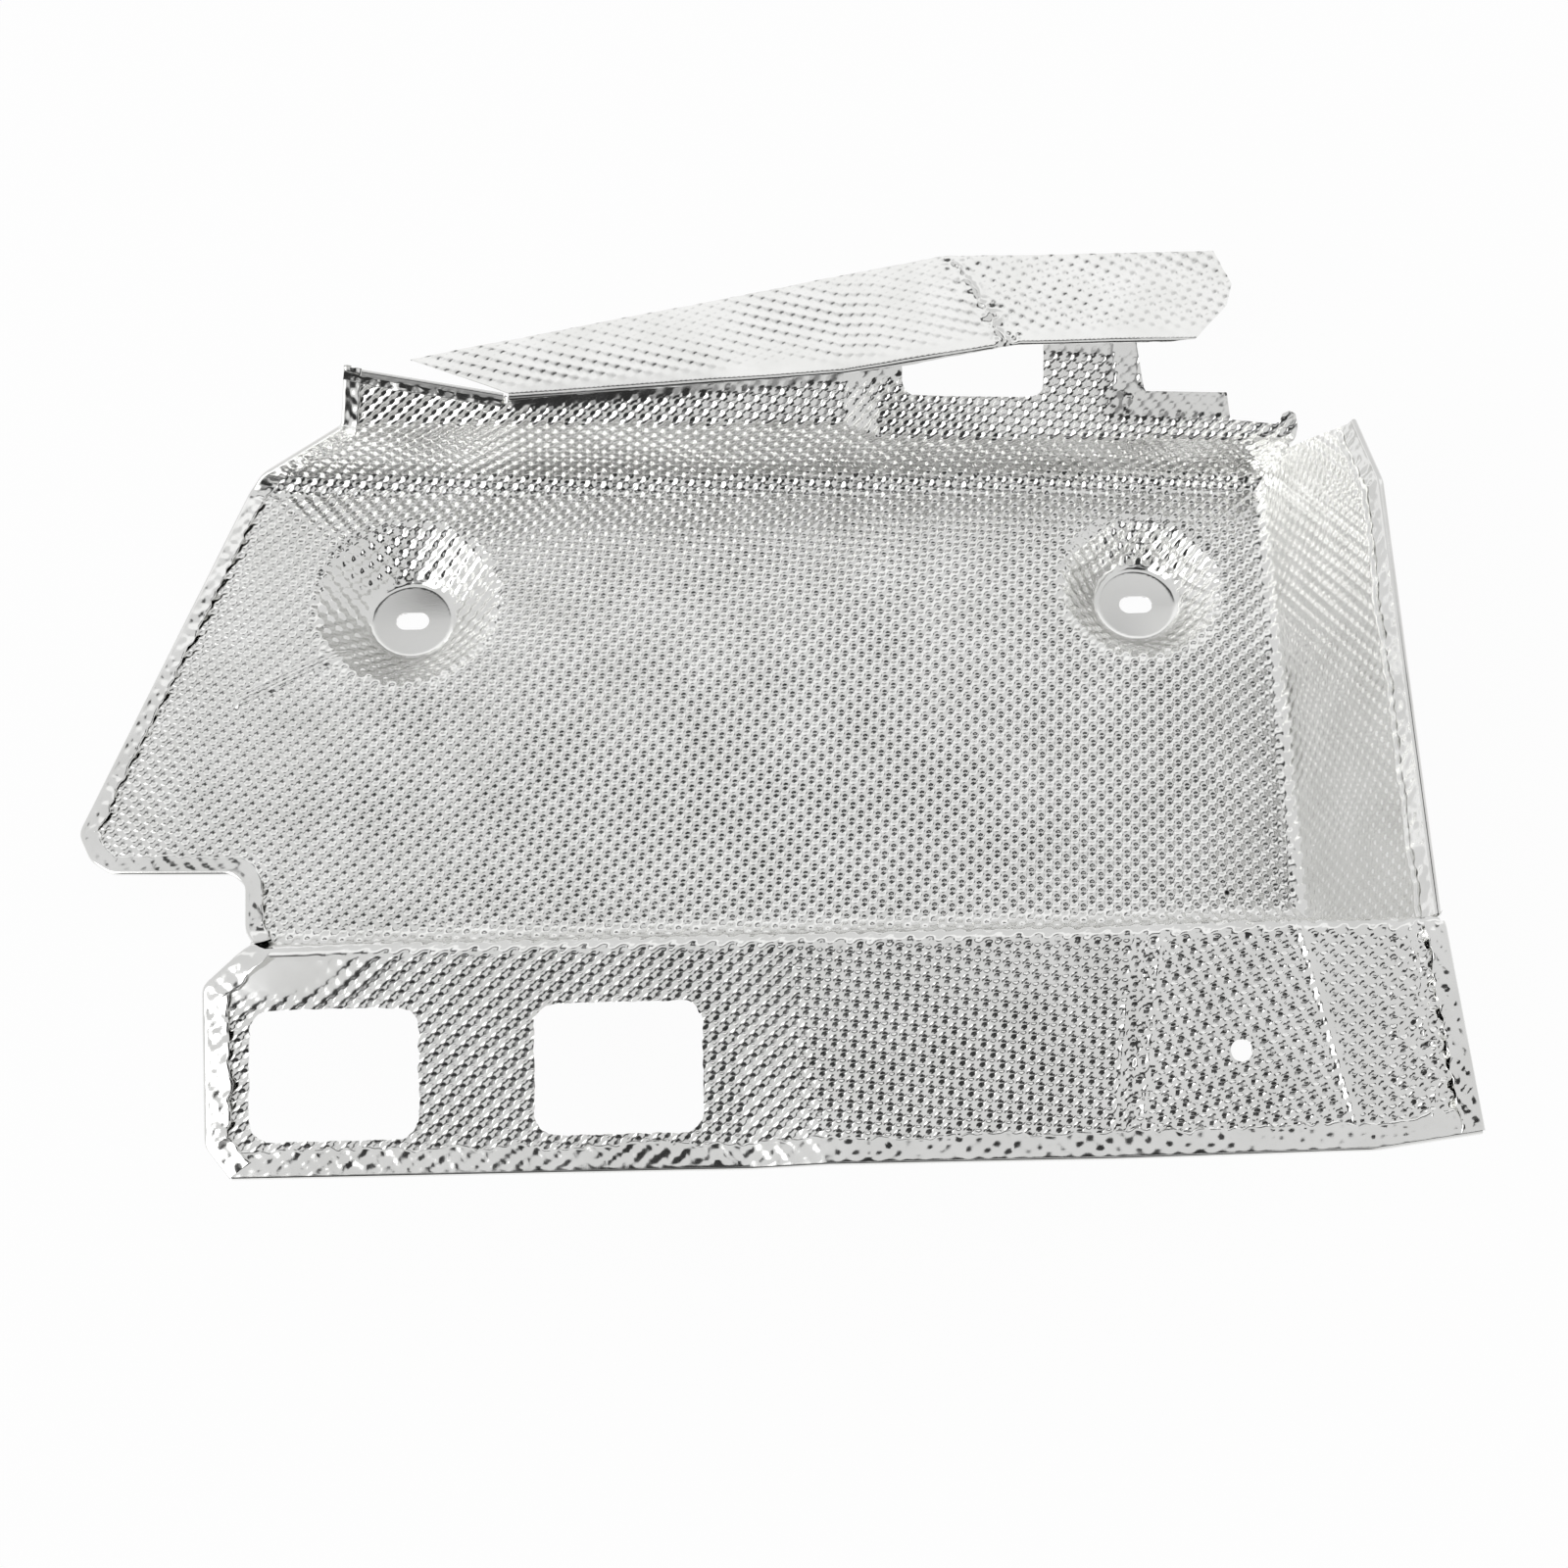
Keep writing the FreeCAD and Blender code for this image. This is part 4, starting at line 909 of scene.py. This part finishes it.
def leaf_rows(line, inside, places, width, tilt, crumple, seed):
    """Across and up from the edge: rows of the crumpled leaf that lies on the sheet."""
    still = np.zeros_like(places)
    uneven = [share * noise(places / length, still, seed + i) for i, (share, length) in enumerate(LEAF_WAVES)]
    leaf = width * (1 + sum(uneven))
    gape = GAPE * (GAPE_LEAST + GAPE_MORE * np.maximum(noise(places / GAPE_LENGTH, still, seed + 2), 0))
    gape = gape if tilt > 0 else PRESSED_GAPE * gape
    rows = []
    for share in np.linspace(0, 1, LEAF_ROWS + 1)[1:]:
        across = leaf * share
        pucker = PUCKER[0] * noise(places / PUCKER[1], across / PUCKER[2], seed + 3)
        crease = LEAF_CREASE[0] * ridges(places / LEAF_CREASE[1], across / LEAF_CREASE[2], seed + 4)
        u = line[:, 0] + across * inside[:, 0]
        v = line[:, 1] + across * inside[:, 1]
        relief = pucker + crease + LEAF_DIMPLE * dimples(u, v, ROW_ANGLE)
        lift = tilt * share + gape * share ** 2
        rows.append((across, HEM_TOP + lift + crumple * smooth(across, 0, LEAF_ROOT) * relief))
    across, height = rows[-1]
    return rows + [(across + out, height - drop) for out, drop in LEAF_EDGE]


def fold_rows(places):
    """Across and up from the edge: lip below the sheet and round fold outside it."""
    still = np.zeros_like(places)
    middle = (HEM_TOP + HEM_FOOT) / 2
    radius = (HEM_TOP - HEM_FOOT) / 2
    rows = [(still + LIP_WIDTH, still + HEM_FOOT + LIP_RISE)]
    for turn in np.linspace(-0.5, -1.5, FOLD_ROWS) * np.pi:
        rows.append((still + radius * math.cos(turn), still + middle + radius * math.sin(turn)))
    return rows


def add_hem(name, line, ease, locate, width, tilt, crumple, seed, material):
    """Edge folded back on the sheet: lip below, round fold outside, crumpled leaf above."""
    line, places = resample(line, ease)
    run = unit(np.gradient(line, axis=0))
    inside = np.stack([-run[:, 1], run[:, 0]], axis=1)
    base = locate(*line.T)
    along = unit(np.gradient(base, axis=0))
    inward = locate(*(line + HEM_NUDGE * inside).T) - base
    inward = unit(inward - along * np.sum(inward * along, axis=1, keepdims=True))
    normal = np.cross(along, inward)
    rows = fold_rows(places) + leaf_rows(line, inside, places, width, tilt, crumple, seed)
    points = np.stack([base + inward * a[:, None] + normal * b[:, None] for a, b in rows], axis=1)
    faces = grid_faces(*points.shape[:2])[:, [0, 3, 2, 1]]
    points = points.reshape(-1, 3)
    add_piece(name, points, faces, vertex_normals(points, faces), material)


def add_hems(material):
    """All folded edges, each on its course, with its corners eased, on form or wall."""
    wing = np.concatenate([ear_line(), form_line(WING_HEM)])
    courses = {
        "rear_hem": (form_line(REAR_HEM), 0.0, on_form),
        "wing_hem": (wing, HEM_EASE, on_form),
        "left_hem": (form_line(LEFT_HEM), 0.0, on_form),
        "front_hem": (form_line(FRONT_HEM), 0.0, on_form),
        "corner_hem": (form_line(CORNER_HEM), 0.0, on_form),
        "wall_hem": (wall_line(), HEM_EASE, on_wall),
    }
    for name, look in HEMS.items():
        add_hem(name, *courses[name], *look, material)


def add_node(tree, kind, **values):
    """A shader node with some of its settings."""
    node = tree.nodes.new(kind)
    for key, value in values.items():
        setattr(node, key, value)
    return node


def add_noise(tree, place, scale, detail):
    """Socket with a noise texture's value."""
    node = add_node(tree, "ShaderNodeTexNoise")
    node.inputs["Scale"].default_value = scale
    node.inputs["Detail"].default_value = detail
    tree.links.new(place, node.inputs["Vector"])
    return node.outputs["Fac"]


def map_range(tree, value, source, target=(0.0, 1.0), **values):
    """Socket that takes a value from one range to another."""
    node = add_node(tree, "ShaderNodeMapRange", **values)
    for name, number in zip(("From Min", "From Max", "To Min", "To Max"), (*source, *target)):
        node.inputs[name].default_value = number
    tree.links.new(value, node.inputs["Value"])
    return node.outputs["Result"]


def soft_step(tree, value, low, high):
    """Socket that eases from 0 at low to 1 at high."""
    return map_range(tree, value, (low, high), interpolation_type="SMOOTHSTEP")


def combine(tree, operation, a, b):
    """Socket with two values joined by a math operation."""
    node = add_node(tree, "ShaderNodeMath", operation=operation)
    tree.links.new(a, node.inputs[0])
    tree.links.new(b, node.inputs[1])
    return node.outputs["Value"]


def add_dirt(tree, place, clean_colour):
    """Socket with a colour that is dark at the speck of dirt."""
    away = add_node(tree, "ShaderNodeVectorMath", operation="DISTANCE")
    away.inputs[1].default_value = Vector(SPECK) * MM
    tree.links.new(place, away.inputs[0])
    low, high = (edge * MM for edge in SPECK_EDGE)
    dirt = add_node(tree, "ShaderNodeMix", data_type="RGBA")
    dirt.inputs["A"].default_value = DIRT
    tree.links.new(soft_step(tree, away.outputs["Value"], low, high), dirt.inputs["Factor"])
    tree.links.new(clean_colour, dirt.inputs["B"])
    return dirt.outputs["Result"]


def make_aluminium():
    """Bright rolled aluminium with faint smears in its gloss and a fine grain."""
    material = bpy.data.materials.new("embossed_aluminium")
    material.use_nodes = True
    tree = material.node_tree
    shader = tree.nodes["Principled BSDF"]
    shader.inputs["Metallic"].default_value = 1.0
    place = add_node(tree, "ShaderNodeTexCoord").outputs["Object"]
    smear = add_noise(tree, place, SMEAR_SCALE, SMEAR_DETAIL)
    gloss = map_range(tree, smear, SMEAR_RANGE, GLOSS_RANGE)
    tree.links.new(gloss, shader.inputs["Roughness"])
    tone = add_node(tree, "ShaderNodeValToRGB")
    for element, position, colour in zip(tone.color_ramp.elements, SMEAR_RANGE, TONES):
        element.position = position
        element.color = colour
    tree.links.new(smear, tone.inputs["Fac"])
    tree.links.new(add_dirt(tree, place, tone.outputs["Color"]), shader.inputs["Base Color"])
    bump = add_node(tree, "ShaderNodeBump")
    bump.inputs["Strength"].default_value = GRAIN_STRENGTH
    bump.inputs["Distance"].default_value = GRAIN_HEIGHT * MM
    tree.links.new(add_noise(tree, place, GRAIN_SCALE, GRAIN_DETAIL), bump.inputs["Height"])
    tree.links.new(bump.outputs["Normal"], shader.inputs["Normal"])
    return material


def soft_box(tree, across, depth, spans, edge):
    """Socket that is 1 in a soft-edged rectangle of the sky seen from below."""
    mask = None
    for value, (low, high) in zip((across, depth), spans):
        for start, end in ((low - edge, low + edge), (high + edge, high - edge)):
            step = soft_step(tree, value, start, end)
            mask = step if mask is None else combine(tree, "MULTIPLY", mask, step)
    return mask


def blend(tree, factor, below, level):
    """Socket that shows a grey level over what lies below it."""
    node = add_node(tree, "ShaderNodeMix", data_type="FLOAT")
    node.inputs["B"].default_value = level
    tree.links.new(factor, node.inputs["Factor"])
    tree.links.new(below, node.inputs["A"])
    return node.outputs["Result"]


def make_world():
    """White booth: bright rear, softbox in front on the left, dim gap overhead, dim room in front."""
    world = bpy.data.worlds.new("studio")
    bpy.context.scene.world = world
    world.use_nodes = True
    tree = world.node_tree
    background = tree.nodes["Background"]
    place = add_node(tree, "ShaderNodeTexCoord")
    split = add_node(tree, "ShaderNodeSeparateXYZ")
    tree.links.new(place.outputs["Generated"], split.inputs[0])
    across, depth = split.outputs["X"], split.outputs["Y"]
    sky = map_range(tree, depth, SKY_DEPTH, SKY_LEVELS)
    for spans, edge, grey in SKY_PANELS:
        sky = blend(tree, soft_box(tree, across, depth, spans, edge), sky, grey)
    tree.links.new(sky, background.inputs["Color"])
    background.inputs["Strength"].default_value = 1.0


def make_table_material():
    """White that stays white in the picture and in the metal, and takes a faint shadow."""
    material = bpy.data.materials.new("white_table")
    material.use_nodes = True
    tree = material.node_tree
    tree.nodes.remove(tree.nodes["Principled BSDF"])
    diffuse = add_node(tree, "ShaderNodeBsdfDiffuse")
    diffuse.inputs["Color"].default_value = TABLE_COLOUR
    glow = add_node(tree, "ShaderNodeEmission")
    glow.inputs["Strength"].default_value = 1.0
    seen = add_node(tree, "ShaderNodeLightPath")
    direct = combine(tree, "MAXIMUM", seen.outputs["Is Camera Ray"], seen.outputs["Is Glossy Ray"])
    mix = add_node(tree, "ShaderNodeMixShader")
    tree.links.new(map_range(tree, direct, (0.0, 1.0), (0.0, TABLE_GLOW)), mix.inputs["Fac"])
    tree.links.new(diffuse.outputs["BSDF"], mix.inputs[1])
    tree.links.new(glow.outputs["Emission"], mix.inputs[2])
    tree.links.new(mix.outputs["Shader"], tree.nodes["Material Output"].inputs["Surface"])
    return material


def make_floor():
    """White table under the shield."""
    mesh = bpy.data.meshes.new("floor")
    corners = [(-1, -1), (1, -1), (1, 1), (-1, 1)]
    points = [Vector((x * TABLE_REACH, y * TABLE_REACH, -TABLE_DEPTH)) * MM for x, y in corners]
    mesh.from_pydata(points, [], [(0, 1, 2, 3)])
    mesh.materials.append(make_table_material())
    floor = bpy.data.objects.new("floor", mesh)
    bpy.context.scene.collection.objects.link(floor)


def make_camera():
    """Camera above and in front of the shield."""
    camera = bpy.data.cameras.new("camera")
    camera.lens = LENS
    camera.sensor_width = SENSOR
    view = bpy.data.objects.new("camera", camera)
    view.location = Vector(CAMERA) * MM
    view.rotation_euler = (Vector(TARGET) * MM - view.location).to_track_quat("-Z", "Y").to_euler()
    bpy.context.scene.collection.objects.link(view)
    bpy.context.scene.camera = view


aluminium = make_aluminium()
add_sheet(
    "shield", FORM_EXTENT, on_form, form_field, emboss_form, ROW_ANGLE, aluminium, cuts=FORM_CUTS,
)
add_sheet("wall", WALL_EXTENT, on_wall, wall_field, emboss_wall, ROW_ANGLE, aluminium)
add_sheet(
    "flange", FLANGE_EXTENT, on_flange, flange_field, emboss_flange, ROW_ANGLE + FLANGE_TURN, aluminium,
)
add_sheet("tip", TIP_EXTENT, on_tip, tip_field, emboss_flange, ROW_ANGLE, aluminium)
add_hems(aluminium)
make_camera()
make_world()
make_floor()
bpy.context.scene.view_settings.view_transform = "Standard"
